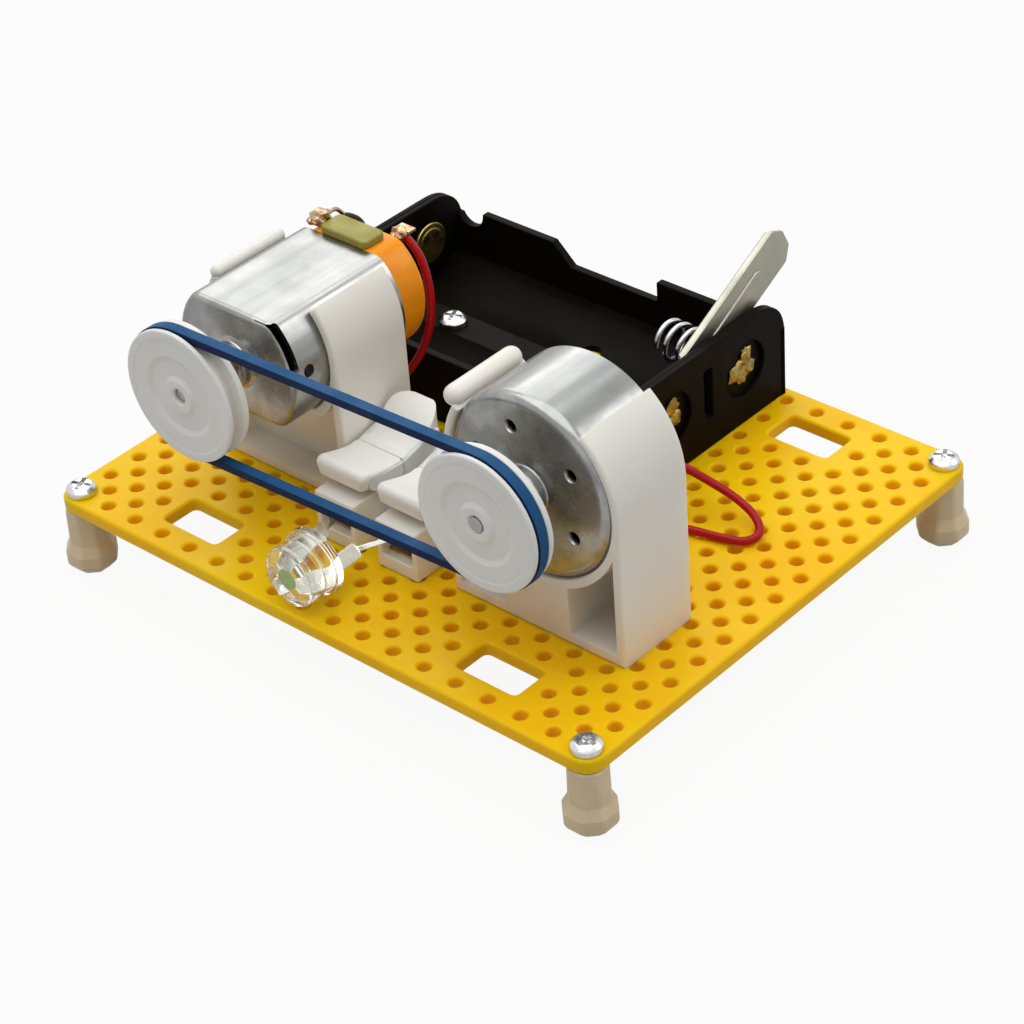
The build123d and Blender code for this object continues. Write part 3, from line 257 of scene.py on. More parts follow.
def use(tree, group, links=None, **values):
    """Places a shared effect in a material."""
    made = tree.nodes.new("ShaderNodeGroup")
    made.node_tree = group
    for name, value in values.items():
        made.inputs[name.replace("_", " ").title()].default_value = value
    for name, socket in (links or {}).items():
        tree.links.new(socket, made.inputs[name])
    return made


def set_constants(shader, constants):
    """Sets inputs of the shader by their names in lower case, as in specular_ior_level."""
    for label, value in constants.items():
        shader.inputs[label.replace("_", " ").title().replace("Ior", "IOR")].default_value = value


def moulded(name, colour, other, roughness=(0.3, 0.42), patch=60.0, amount=0.5, texture=1500.0,
            bump=0.00002, dusty=0.0, **constants):
    """A moulded plastic or rubber."""
    material, tree, shader = start_finish(name)
    colours = use(tree, mottle, colour=(*colour, 1), other=(*other, 1), scale=patch, amount=amount)
    rough = place(tree, "ShaderNodeMapRange", {"Value": colours.outputs["Mask"]},
                  to_min=roughness[0], to_max=roughness[1])
    base = colours.outputs["Colour"]
    if dusty:
        film = use(tree, dust, amount=dusty)
        base = mixed_colour(tree, film.outputs["Mask"], base, DUST_COLOUR)
    skin = use(tree, grain, scale=texture, coarse=patch * 3)
    relief = place(tree, "ShaderNodeBump", {"Height": skin.outputs["Height"]}, distance=bump,
                   strength=0.6)
    tree.links.new(base, shader.inputs["Base Color"])
    tree.links.new(rough.outputs["Result"], shader.inputs["Roughness"])
    tree.links.new(relief.outputs["Normal"], shader.inputs["Normal"])
    set_constants(shader, constants)
    return material


# %% Bare and plated metal
# Size of the painted dark reflection bands, against the drawn lines.
REFLECTION_BAND_SCALE = 0.22


def metal(name, colour, other, roughness=(0.2, 0.35), stretch=(1.0, 0.05, 1.0), lines=900.0,
          patch=80.0, amount=0.6, bump=0.00001, painted_reflection=0.0, painted_reflection_colour=(0.1, 0.1, 0.1)):
    """Bare or plated metal with drawn lines; painted dark reflection can darken it in broad bands along the
    lines.
    """
    material, tree, shader = start_finish(name)
    colours = use(tree, mottle, colour=(*colour, 1), other=(*other, 1), scale=patch, amount=amount)
    fine = use(tree, drawn, stretch=stretch, scale=lines)
    worn = place(tree, "ShaderNodeMix", {"A": fine.outputs["Lines"], "B": colours.outputs["Mask"]},
                 factor=0.5)
    rough = place(tree, "ShaderNodeMapRange", {"Value": worn.outputs["Result"]}, from_min=0.25,
                  from_max=0.75, to_min=roughness[0], to_max=roughness[1])
    relief = place(tree, "ShaderNodeBump", {"Height": fine.outputs["Lines"]}, distance=bump,
                   strength=0.5)
    base = colours.outputs["Colour"]
    # Painted reflection: broad dark bands along the lines stand in for dark surroundings mirrored in the
    # metal.
    if painted_reflection:
        bands = use(tree, drawn, stretch=stretch, scale=lines * REFLECTION_BAND_SCALE)
        share = place(tree, "ShaderNodeMapRange", {"Value": bands.outputs["Lines"]}, from_min=0.42,
                      from_max=0.6, to_max=painted_reflection)
        base = mixed_colour(tree, share.outputs["Result"], base, (*painted_reflection_colour, 1))
    tree.links.new(base, shader.inputs["Base Color"])
    tree.links.new(rough.outputs["Result"], shader.inputs["Roughness"])
    tree.links.new(relief.outputs["Normal"], shader.inputs["Normal"])
    shader.inputs["Metallic"].default_value = 1.0


# %% The plastics
moulded("yellow_plastic", (1.0, 0.6, 0.004), (1.0, 0.47, 0.002), roughness=(0.28, 0.4), patch=45.0,
        amount=0.7, texture=1100.0, bump=0.00003, specular_ior_level=0.1, subsurface_weight=0.6,
        subsurface_scale=0.003, subsurface_radius=(1.0, 0.45, 0.05))
moulded("clear_nylon", (0.72, 0.58, 0.37), (0.58, 0.46, 0.28), roughness=(0.3, 0.45), patch=220.0,
        subsurface_weight=0.4, subsurface_scale=0.002, subsurface_radius=(1.0, 0.8, 0.5))
moulded("ivory_plastic", (0.83, 0.80, 0.73), (0.79, 0.75, 0.66), roughness=(0.32, 0.44), patch=90.0,
        amount=0.5, dusty=0.05, specular_ior_level=0.35, subsurface_weight=0.3, subsurface_scale=0.003,
        subsurface_radius=(1.0, 0.8, 0.5))
moulded("white_plastic", (0.82, 0.81, 0.77), (0.76, 0.74, 0.69), roughness=(0.32, 0.44), patch=110.0,
        amount=0.5, specular_ior_level=0.35, subsurface_weight=0.3, subsurface_scale=0.002,
        subsurface_radius=(1.0, 0.8, 0.6))
moulded("orange_plastic", (1.0, 0.35, 0.006), (0.8, 0.23, 0.004), roughness=(0.2, 0.32), patch=260.0,
        specular_ior_level=0.2, subsurface_weight=0.2, subsurface_scale=0.001)
moulded("capacitor_resin", (0.34, 0.30, 0.055), (0.25, 0.22, 0.035), roughness=(0.35, 0.5), patch=300.0,
        amount=0.8, specular_ior_level=0.3)
moulded("black_plastic", (0.004, 0.003, 0.002), (0.007, 0.005, 0.003), roughness=(0.4, 0.55),
        patch=120.0, texture=2200.0, bump=0.00004, dusty=0.002, specular_ior_level=0.04)
moulded("phosphor", (0.38, 0.52, 0.15), (0.28, 0.42, 0.12), roughness=(0.5, 0.7), patch=900.0)
moulded("red_pvc", (0.42, 0.003, 0.008), (0.3, 0.002, 0.006), roughness=(0.22, 0.34), patch=200.0,
        specular_ior_level=0.2)
moulded("black_pvc", (0.006, 0.006, 0.007), (0.012, 0.012, 0.012), roughness=(0.28, 0.4), patch=200.0,
        specular_ior_level=0.3)
belt_rubber = moulded("blue_rubber", (0.012, 0.08, 0.205), (0.008, 0.06, 0.165), roughness=(0.5, 0.65),
                      patch=300.0, texture=2600.0, specular_ior_level=0.14)
moulded("ferrite", (0.02, 0.02, 0.022), (0.035, 0.033, 0.03), roughness=(0.6, 0.8), patch=500.0)
print("plastics", sorted(finishes))

# %% Painted shade on the belt: its faces that look front or back are darker than its other faces
tree = belt_rubber.node_tree
shader = tree.nodes["Principled BSDF"]
facing = place(tree, "ShaderNodeNewGeometry")
split = place(tree, "ShaderNodeSeparateXYZ", {"Vector": facing.outputs["True Normal"]})
sideways = worked_out(tree, "ABSOLUTE", split.outputs["Y"])
edge = place(tree, "ShaderNodeMapRange", {"Value": sideways}, from_min=0.3, from_max=0.8)
face_colour = shader.inputs["Base Color"].links[0].from_socket
# Painted shade: a dark navy on the faces that look front or back, for the shade on the belt's sides.
BELT_SIDE_SHADE = (0.004, 0.016, 0.06, 1)
shaded_sides = mixed_colour(tree, edge.outputs["Result"], face_colour, BELT_SIDE_SHADE)
tree.links.new(shaded_sides, shader.inputs["Base Color"])
print("belt edges", BELT_SIDE_SHADE)

# %% The metals
metal("screw_steel", (0.72, 0.72, 0.72), (0.55, 0.55, 0.56), roughness=(0.14, 0.3), patch=600.0)
# The motor cans get painted dark reflection bands in their colour.
metal("can_steel", (0.41, 0.41, 0.39), (0.33, 0.33, 0.315), roughness=(0.2, 0.34), patch=150.0,
      stretch=(1.0, 0.035, 1.0), bump=0.000006, painted_reflection=0.5, painted_reflection_colour=(0.13, 0.14, 0.145))
metal("shaft_steel", (0.42, 0.42, 0.42), (0.3, 0.3, 0.3), roughness=(0.2, 0.34), patch=500.0)
metal("bronze", (0.5, 0.3, 0.12), (0.36, 0.21, 0.09), roughness=(0.35, 0.5), patch=500.0)
metal("lamination", (0.3, 0.3, 0.31), (0.2, 0.2, 0.2), roughness=(0.4, 0.55), patch=400.0,
      stretch=(0.02, 3.0, 0.02))
metal("copper", (0.75, 0.32, 0.14), (0.55, 0.2, 0.08), roughness=(0.22, 0.38), patch=400.0)
metal("tinned_brass", (0.6, 0.46, 0.3), (0.34, 0.17, 0.07), roughness=(0.25, 0.45), patch=900.0,
      amount=0.9)
metal("contact_brass", (0.44, 0.33, 0.1), (0.2, 0.14, 0.045), roughness=(0.26, 0.44), patch=900.0,
      amount=0.8)
metal("spring_steel", (0.62, 0.62, 0.63), (0.45, 0.45, 0.46), roughness=(0.14, 0.26), patch=500.0)
metal("blade_steel", (0.41, 0.40, 0.33), (0.32, 0.31, 0.25), roughness=(0.32, 0.46), patch=160.0,
      stretch=(1.0, 0.05, 0.05), bump=0.000003)
metal("tinned_steel", (0.9, 0.89, 0.82), (0.78, 0.76, 0.68), roughness=(0.16, 0.3), patch=500.0)
print("finishes", len(finishes))

# %% The LED's clear epoxy
material, tree, shader = start_finish("clear_lens")
flow = use(tree, mottle, colour=(0.97, 0.98, 0.96, 1), other=(0.93, 0.94, 0.9, 1), scale=300.0)
ripple = use(tree, grain, scale=700.0, coarse=300.0)
relief = place(tree, "ShaderNodeBump", {"Height": ripple.outputs["Height"]}, distance=0.00001,
               strength=0.3)
tree.links.new(flow.outputs["Colour"], shader.inputs["Base Color"])
tree.links.new(relief.outputs["Normal"], shader.inputs["Normal"])
set_constants(shader, {"transmission_weight": 1.0, "roughness": 0.03, "ior": 1.5})
print("finish", material.name)

# %% Every CAD node takes the finish of its slot
for row in frame["record"]["subparts"]:
    dressed = frame["nodes"][row["node"]]
    dressed.data.materials.clear()
    dressed.data.materials.append(finishes[row["material_slot"]])

# %% [markdown]
# ## How the pieces are shaped
# Nearly everything here is moulded, stamped or drawn, so four tools cover it. A *slab* is a flat outline,
# with holes, given a thickness: Blender's 2D curves fill such an outline and roll a soft rim along every
# edge, which is what catches the light on a real moulding. A *turned* piece is a profile spun round an
# axis, with its corners rounded before it is spun. A *loft* joins outlines in turn, for shapes that
# change along their length, and a *wire* is a smooth curve with a round section.

# %% Drawing planes
def plane(origin, x_axis, y_axis):
    """Matrix of a drawing plane at origin; its third axis comes out of the drawing."""
    return Matrix.Translation(origin) @ Matrix((x_axis, y_axis, x_axis.cross(y_axis))).transposed().to_4x4()


def facing_front(x, y, h=0.0):
    return plane(spot(x, y, h), RIGHT, UP)


def facing_right(x, y, h=0.0):
    return plane(spot(x, y, h), BACK, UP)


def facing_left(x, y, h=0.0):
    return plane(spot(x, y, h), FRONT, UP)


def facing_up(x, y, h=0.0):
    return plane(spot(x, y, h), RIGHT, BACK)


# %% Outlines
def arc(radius, start, end, steps=24, centre=(0.0, 0.0)):
    """Points along an arc, angles in degrees."""
    angles = [math.radians(start + (end - start) * i / steps) for i in range(steps + 1)]
    return [(centre[0] + radius * math.cos(a), centre[1] + radius * math.sin(a)) for a in angles]


def circle(radius, steps=32, centre=(0.0, 0.0)):
    return arc(radius, 0, 360, steps, centre)[:-1]


def rounded(points, radius, steps=5, closed=True):
    """The outline with each corner rounded; radius is one number or one for each corner."""
    radii = radius if isinstance(radius, (list, tuple)) else [radius] * len(points)
    made = []
    for i, (point, r) in enumerate(zip(points, radii)):
        here = Vector(point)
        if r <= 0 or (not closed and i in (0, len(points) - 1)):
            made.append(tuple(here))
            continue
        before = (Vector(points[i - 1]) - here)
        after = (Vector(points[(i + 1) % len(points)]) - here)
        half = before.angle(after) / 2
        reach = min(r / math.tan(half), before.length * 0.49, after.length * 0.49)
        a, b = here + before.normalized() * reach, here + after.normalized() * reach
        for k in range(steps + 1):
            t = k / steps
            made.append(tuple(a * (1 - t) ** 2 + here * 2 * t * (1 - t) + b * t ** 2))
    return made


def rectangle(width, tall, radius=0.0, centre=(0.0, 0.0), steps=5):
    x, y = width / 2, tall / 2
    corners = [(centre[0] + sx * x, centre[1] + sy * y) for sx, sy in ((-1, -1), (1, -1), (1, 1), (-1, 1))]
    return rounded(corners, radius, steps) if radius else corners


# %% Slab: a flat outline with a thickness and soft rims
def slab(outlines, thick, soft, where, rim_steps=2):
    """Mesh of a flat piece; its front face lies on the drawing plane and it goes back from there."""
    curve = bpy.data.curves.new("outline", "CURVE")
    curve.dimensions, curve.fill_mode = "2D", "BOTH"
    curve.extrude = (thick / 2 - soft) * MM
    curve.bevel_depth, curve.bevel_resolution, curve.offset = soft * MM, rim_steps, -soft * MM
    for outline in outlines:
        line = curve.splines.new("POLY")
        line.points.add(len(outline) - 1)
        for point, (x, y) in zip(line.points, outline):
            point.co = (x * MM, y * MM, 0, 1)
        line.use_cyclic_u = True
    carrier = bpy.data.objects.new("outline", curve)
    mesh = bpy.data.meshes.new_from_object(carrier)
    bpy.data.objects.remove(carrier)
    bpy.data.curves.remove(curve)
    mesh.transform(where @ Matrix.Translation((0, 0, -thick / 2 * MM)))
    return mesh


# %% Faces between two rings, and a mesh from them
def bridge(bm, one, two):
    """Faces between two rings with the same number of points."""
    count = len(one)
    for i in range(count):
        bm.faces.new([one[i], one[(i + 1) % count], two[(i + 1) % count], two[i]])


def mesh_from(bm, name, where=None):
    """The mesh with its faces turned outwards, moved to its place."""
    bmesh.ops.recalc_face_normals(bm, faces=bm.faces)
    mesh = bpy.data.meshes.new(name)
    bm.to_mesh(mesh)
    bm.free()
    if where is not None:
        mesh.transform(where)
    return mesh


# %% Loft: outlines with the same number of points, joined in turn
def loft(rings, where, ring=False):
    """Mesh through (outline, along) pairs; its ends are closed, or joined to each other."""
    bm = bmesh.new()
    rows = [[bm.verts.new((x * MM, y * MM, along * MM)) for x, y in line] for line, along in rings]
    for one, two in list(zip(rows, rows[1:])) + ([(rows[-1], rows[0])] if ring else []):
        bridge(bm, one, two)
    if not ring:
        bm.faces.new(rows[0])
        bm.faces.new(rows[-1])
    return mesh_from(bm, "loft", where)


# %% Turned: a profile spun round the drawing plane's third axis
def turned(profile, where, steps=72, closed=False, turn=0.0):
    """Mesh of a profile of (radius, along) spun about the plane's third axis."""
    bm = bmesh.new()
    rings = []
    for radius, along in profile:
        if radius < 1e-4:
            rings.append([bm.verts.new((0, 0, along * MM))])
            continue
        angles = [2 * math.pi * (i + turn) / steps for i in range(steps)]
        rings.append([bm.verts.new((radius * MM * math.cos(a), radius * MM * math.sin(a), along * MM))
                      for a in angles])
    pairs = list(zip(rings, rings[1:])) + ([(rings[-1], rings[0])] if closed else [])
    for one, two in pairs:
        for i in range(steps):
            corners = [one[i % len(one)], one[(i + 1) % len(one)], two[(i + 1) % len(two)],
                       two[i % len(two)]]
            corners = [c for n, c in enumerate(corners) if c not in corners[:n]]
            if len(corners) > 2:
                bm.faces.new(corners)
    return mesh_from(bm, "turned", where)


# %% Joining meshes, cutting one with another, and putting a piece in the scene
def joined(*meshes):
    """One mesh of several."""
    bm = bmesh.new()
    for mesh in meshes:
        bm.from_mesh(mesh)
    whole = bpy.data.meshes.new("joined")
    bm.to_mesh(whole)
    bm.free()
    for mesh in meshes:
        bpy.data.meshes.remove(mesh)
    return whole


def tidy(mesh):
    """Merges the points that fill and rim share, and turns every face outwards."""
    bm = bmesh.new()
    bm.from_mesh(mesh)
    bmesh.ops.remove_doubles(bm, verts=bm.verts, dist=2e-6)
    bmesh.ops.recalc_face_normals(bm, faces=bm.faces)
    bm.to_mesh(mesh)
    bm.free()
    return mesh


def cut(mesh, *cutters):
    """The mesh without the space of the cutters."""
    base = bpy.data.objects.new("base", tidy(mesh))
    bpy.context.scene.collection.objects.link(base)
    helpers = []
    for cutter in cutters:
        tool = bpy.data.objects.new("tool", tidy(cutter))
        bpy.context.scene.collection.objects.link(tool)
        step = base.modifiers.new("cut", "BOOLEAN")
        step.operation, step.solver, step.object = "DIFFERENCE", "EXACT", tool
        helpers.append(tool)
    bpy.context.view_layer.update()
    shaped = bpy.data.meshes.new_from_object(base.evaluated_get(bpy.context.evaluated_depsgraph_get()))
    for helper in [base, *helpers]:
        bpy.data.objects.remove(helper)
    return shaped


def stand_in(shown, finish, body, replaces):
    """Puts an object in the scene, riding on its body and standing for its CAD nodes."""
    shown.data.materials.clear()
    shown.data.materials.append(finishes[finish])
    bpy.context.scene.collection.objects.link(shown)
    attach(shown, body)
    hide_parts(*replaces)


def show(name, mesh, finish, body="frame", replaces=(), smooth=42):
    """Shows a mesh as a piece, with smooth shading up to an angle in degrees."""
    tidy(mesh)
    mesh.name = name
    mesh.shade_smooth()
    mesh.set_sharp_from_angle(angle=math.radians(smooth))
    shown = bpy.data.objects.new(name, mesh)
    even = shown.modifiers.new("even_normals", "WEIGHTED_NORMAL")
    even.keep_sharp = True
    stand_in(shown, finish, body, replaces)
    print("made", name, len(mesh.polygons), "faces")
    return shown


# %% Wire: a smooth curve with a round section
def wire(name, points, radius, ring_steps, order=3, steps=12):
    """Curve of a wire along points in metres; its radius is in millimetres."""
    data = bpy.data.curves.new(name, "CURVE")
    data.dimensions, data.resolution_u = "3D", steps
    data.bevel_depth, data.bevel_resolution, data.use_fill_caps = radius * MM, ring_steps, True
    line = data.splines.new("NURBS")
    line.points.add(len(points) - 1)
    for point, at in zip(line.points, points):
        point.co = (*at, 1)
    line.order_u = order
    line.use_endpoint_u = True
    return data


# %% [markdown]
# ## Leads
# Each motor is soldered to two thin flexible leads, which run to the cells' contacts and to the terminal
# block. They lie free between their ends, so each is one smooth curve along the CAD tube's route, with a
# few points of the two motor leads moved a little to follow the photograph.

# %% Routes of the leads, from the motor's terminal to the other end
LEAD_DIAMETER = 1.1
lead_routes = {
    "motor_lead_red": [
        (-19.8, 4.3, 27.4), (-17.6, 4.6, 25.9), (-16.0, 4.6, 22.0), (-15.2, 4.1, 17.4),
        (-15.7, 2.8, 12.8), (-17.8, 1.3, 8.4), (-21.8, 0.7, 5.0), (-27.0, 0.4, 2.6),
        (-32.6, 0.5, 1.3), (-38.2, 1.2, 1.1), (-42.2, 3.4, 1.3), (-43.4, 7.6, 1.6),
        (-43.3, 13.0, 1.4), (-43.4, 18.8, 2.0), (-43.3, 24.0, 4.2), (-42.6, 27.2, 7.4)],
    "motor_lead_black": [
        (-29.6, 3.9, 26.6), (-29.6, 4.9, 26.2), (-29.2, 6.4, 24.8), (-28.6, 6.8, 22.0),
        (-28.6, 5.2, 18.6), (-29.9, 3.9, 14.0), (-32.4, 1.9, 9.4), (-36.2, 1.7, 6.0),
        (-40.4, 2.4, 4.4), (-43.2, 4.8, 4.3), (-43.5, 8.6, 5.6), (-42.6, 12.0, 7.6)],
    "generator_lead_red": [
        (18.1, -7.4, 24.0), (18.2, -3.6, 22.6), (18.6, -0.4, 18.4), (19.2, 3.2, 13.0),
        (20.4, 6.6, 8.0), (23.8, 9.4, 4.8), (28.4, 10.4, 3.0), (31.8, 10.2, 1.6),
        (34.0, 8.4, 0.9), (33.4, 6.0, 0.65), (30.0, 5.0, 0.65), (25.0, 3.9, 0.65),
        (18.6, 1.2, 0.7), (12.2, -1.6, 0.8), (7.0, -2.4, 1.1), (4.0, -3.6, 2.4),
        (2.8, -6.4, 3.8), (2.8, -9.2, 4.2)],
    "generator_lead_black": [
        (29.1, -7.4, 24.0), (28.8, -4.2, 22.2), (27.2, -3.2, 17.4), (24.2, -2.8, 12.0),
        (20.0, -2.2, 7.4), (14.8, -0.9, 4.4), (8.6, 0.9, 2.9), (2.2, 1.5, 2.2),
        (-3.2, 0.6, 2.0), (-6.6, -2.2, 2.7), (-7.5, -6.0, 3.8), (-7.6, -9.4, 4.2)],
}


def spline_length(data):
    """Length of a curve's own line, in metres."""
    bare = bpy.data.objects.new("bare", data.copy())
    bare.data.bevel_depth = 0
    line = bpy.data.meshes.new_from_object(bare)
    points = [v.co.copy() for v in line.vertices]
    bpy.data.meshes.remove(line)
    bpy.data.objects.remove(bare)
    return sum((b - a).length for a, b in zip(points, points[1:]))


# %% Draw the leads
def lead(name, route, finish):
    """A thin insulated lead as one smooth curve."""
    data = wire(name, [spot(*at) for at in route], LEAD_DIAMETER / 2, 5)
    shown = bpy.data.objects.new(name + "_wire", data)
    stand_in(shown, finish, "frame", [name])
    length = spline_length(data)
    print("lead", name, round(length * 1000, 1), "mm")


for name, route in lead_routes.items():
    lead(name, route, "red_pvc" if name.endswith("red") else "black_pvc")

# %% [markdown]
# ## Base plate
# The plate is one glossy injection moulding with two interleaved square lattices of holes, four slots and
# rounded corners. In the CAD the small holes are square to keep it light. Here every hole is
# round, and the slab's soft rim runs round each, as on the moulding.

# %% The lattice
PITCH, COLUMNS, ROWS = 5.0, 18, 15
HOLE_R = 0.88
SLOT = (9.5, 5.5, 0.8)
SLOT_AT = [(sx * 5 * PITCH, sy * 6 * PITCH) for sx in (-1, 1) for sy in (-1, 1)]
plate_size = (plate_high - plate_low) / MM


def in_a_slot(x, y):
    return any(abs(x - sx) < SLOT[0] / 2 + HOLE_R and abs(y - sy) < SLOT[1] / 2 + HOLE_R
               for sx, sy in SLOT_AT)


lattice = [((i - (COLUMNS - 1) / 2) * PITCH, (j - (ROWS - 1) / 2) * PITCH)
           for i in range(COLUMNS) for j in range(ROWS)]
lattice += [((i - COLUMNS / 2 + 1) * PITCH, (j - ROWS / 2 + 1) * PITCH)
            for i in range(COLUMNS - 1) for j in range(ROWS - 1)]
holes = [p for p in lattice if not in_a_slot(*p)]
print("holes", len(holes))

# %% The plate
outline = rectangle(plate_size.x, plate_size.y, 3.0, steps=8)
plate = slab([outline] + [circle(HOLE_R, 20, p) for p in holes]
             + [rectangle(*SLOT, centre=p, steps=4) for p in SLOT_AT],
             plate_size.z, 0.42, facing_up(0, 0), rim_steps=3)
show("perforated_plate", plate, "yellow_plastic", replaces=["base_plate"])

# %% [markdown]
# ## Legs and screws
# The legs are small milky mouldings: a squarish post with its corners cut, on a thicker foot. Eight steps
# round the axis give the cut corners, and a bevel softens them. The screws are pan heads with a
# deep cross: two bars with soft edges, cut out of one head, and that head is then copied.

# %% Legs
leg_profile = [(0.0, -11.5), (2.2, -11.5), (3.5, -10.2), (3.5, -8.4), (2.75, -7.0), (2.65, -2.0),
               (0.0, -2.0)]
for name in ("leg_front_left", "leg_front_right", "leg_back_left", "leg_back_right"):
    middle, size = node_size(name)
    leg = turned(leg_profile, facing_up(middle.x, middle.y), steps=8, turn=0.5)
    shown = show(name.replace("leg", "foot"), leg, "clear_nylon", replaces=[name], smooth=25)
    soften = shown.modifiers.new("soften", "BEVEL")
    soften.width, soften.segments, soften.limit_method = 0.0003, 3, "ANGLE"
    shown.modifiers.move(1, 0)

# %% One pan-head screw, its axis on the drawing plane's third axis
HEAD_R, HEAD_T, SHANK_R = 2.0, 1.35, 0.9
CROSS_LONG, CROSS_WIDE, CROSS_DEEP = 2.7, 0.62, 1.05


def pan_head(shank):
    dome = rounded([(0.0, HEAD_T), (1.35, HEAD_T), (HEAD_R, 0.75), (HEAD_R, 0.0), (SHANK_R, 0.0),
                    (SHANK_R, 0.3 - shank), (SHANK_R - 0.35, -shank), (0.0, -shank)],
                   [0, 0.9, 0.4, 0.1, 0, 0.1, 0.1, 0], closed=False)
    head = turned(dome, Matrix.Identity(4), steps=40)
    bars = []
    for turn in (0, 90):
        at = Matrix.Rotation(math.radians(turn), 4, "Z") @ Matrix.Translation((0, 0, (HEAD_T + 0.2) * MM))
        bars.append(slab([rectangle(CROSS_LONG, CROSS_WIDE)], CROSS_DEEP, 0.12, at))
    return cut(head, *bars)


def screws(name, places, shank, flip=False):
    """A set of the same screw, one piece, standing for its CAD node."""
    one = pan_head(shank)
    copies = []
    for n, (x, y, h) in enumerate(places):
        copy = one.copy()
        turn = Matrix.Rotation(math.radians(22 + 31 * n), 4, "Z")
        over = Matrix.Rotation(math.pi, 4, "X") if flip else Matrix.Identity(4)
        copy.transform(Matrix.Translation(spot(x, y, h)) @ over @ turn)
        copies.append(copy)
    show(name + "_cross", joined(*copies), "screw_steel", replaces=[name], smooth=35)


LEG_X, LEG_Y = 42.5, 35.0
BOX_FLOOR, BOX_SCREWS = 3.0, ((-27.5, 20.0), (2.5, 20.0))
UNDER = -plate_size.z
screws("leg_screws", [(sx * LEG_X, sy * LEG_Y, 0.0) for sx in (-1, 1) for sy in (-1, 1)], 6.0)
screws("box_screws", [(x, y, BOX_FLOOR) for x, y in BOX_SCREWS], 5.0)
screws("bracket_screws", [(-27.5, -10.0, UNDER), (-17.5, -10.0, UNDER), (20.0, -17.5, UNDER),
                          (25.0, -12.5, UNDER)], 6.0, flip=True)
screws("terminal_block_screw", [(-2.5, -15.0, UNDER)], 4.2, flip=True)

# %% [markdown]
# ## Pulleys and belt
# Both pulleys are white mouldings with concentric steps on the front face and a shallow groove, whose back
# rim is thicker than its front one. The belt is a square-cut band of blue rubber, stretched tight, so its
# runs are straight and it only bends round the pulleys. Its section is carried round point by point,
# because a bevelled curve might twist it, and it has to stay square to the pulleys' axes.

# %% Pulleys
PULLEY_R, GROOVE_R, BORE = 9.0, 7.75, 1.03
RIM, RIM_BACK, WIDE = 0.6, 1.0, pulley_size.y
face = [(BORE, -0.25), (BORE + 0.25, 0.0), (2.2, 0.0), (2.7, -0.42), (4.9, -0.5), (5.5, -0.12),
        (7.7, -0.08), (7.9, 0.0), (PULLEY_R, 0.0)]
groove = [(PULLEY_R, -RIM), (GROOVE_R, -RIM - 0.1), (GROOVE_R, RIM_BACK + 0.1 - WIDE),
          (PULLEY_R, RIM_BACK - WIDE), (PULLEY_R, -WIDE), (2.8, -WIDE), (BORE, -WIDE)]
profile = rounded(face + groove, [0, 0.1, 0.15, 0.2, 0.3, 0.25, 0.1, 0.1, 0.42, 0.14, 0.2, 0.2, 0.14,
                                  0.42, 0.2, 0.1], steps=4)
for name, middle in (("drive", drive_middle), ("generator", gen_middle)):
    at = facing_front(middle.x, middle.y - WIDE / 2, AXIS_H)
    show(f"{name}_wheel", turned(profile, at, steps=96, closed=True), "white_plastic",
         body=f"{name}_rotor", replaces=[f"{name}_pulley"], smooth=35)

# %% Belt
BELT_WIDE, BELT_THICK, BELT_IN = 1.5, 1.1, GROOVE_R + 0.3
BELT_AHEAD = (RIM_BACK - RIM) / 2
BELT_STEPS = 40


def belt_line():
    """Points (position, outward) along the belt's inner face."""
    points = []
    for middle, start in ((drive_middle, 90), (gen_middle, -90)):
        for i in range(BELT_STEPS + 1):
            a = math.radians(start + 180 * i / BELT_STEPS)
            out = Vector((math.cos(a), 0, math.sin(a)))
            points.append((spot(middle.x, middle.y - BELT_AHEAD, AXIS_H) + out * BELT_IN * MM, out))
    return points


def band(line, wide, thick, soft):
    """A closed band swept along the line, its width square to the outward direction."""
    section = rounded([(-wide / 2, 0), (wide / 2, 0), (wide / 2, thick), (-wide / 2, thick)], soft, 3)
    bm = bmesh.new()
    rings = [[bm.verts.new(at + BACK * u * MM + out * v * MM) for u, v in section] for at, out in line]
    for one, two in zip(rings, rings[1:] + rings[:1]):
        bridge(bm, one, two)
    return mesh_from(bm, "band")


show("belt_band", band(belt_line(), BELT_WIDE, BELT_THICK, 0.1), "blue_rubber",
     replaces=["drive_belt"], smooth=35)

# %% [markdown]
# ## Drive motor
# The can is a deep-drawn cup: round sides, flat top and bottom, and a rounded shoulder at the front. A loft
# from the bore over the shoulder to the open end, and back along the inside, gives the outer and the
# inner wall in one. Its side window and vent are cut through, so the dark inside shows.

# %% The can
drive_can_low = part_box("drive_motor_can")[0]
DRIVE_R, DRIVE_FLAT, DRIVE_LONG, WALL = 10.05, 7.55, 20.0, 0.7
BOSS_LONG = 1.5
DRIVE_FACE = (drive_can_low.y - PLATE_MIDDLE.y) / MM + BOSS_LONG


def flat_sided(radius, flat, corner):
    """Outline of a circle with flats above and below; corner arcs touch both the circle and the flat."""
    reach = math.sqrt((radius - corner) ** 2 - (flat - corner) ** 2)
    lean = math.degrees(math.atan2(flat - corner, reach))
    upper = arc(radius, 0, lean, 14) + arc(corner, lean, 90, 8, (reach, flat - corner))[1:]
    lower = [(x, -y) for x, y in reversed(upper[1:])]
    right = lower + upper
    return right + [(-x, -y) for x, y in right]


def drive_plane(ahead):
    """Drawing plane square to the drive motor's axis, that far ahead of the can's face."""
    return facing_front(DRIVE_X, DRIVE_FACE - ahead, AXIS_H)


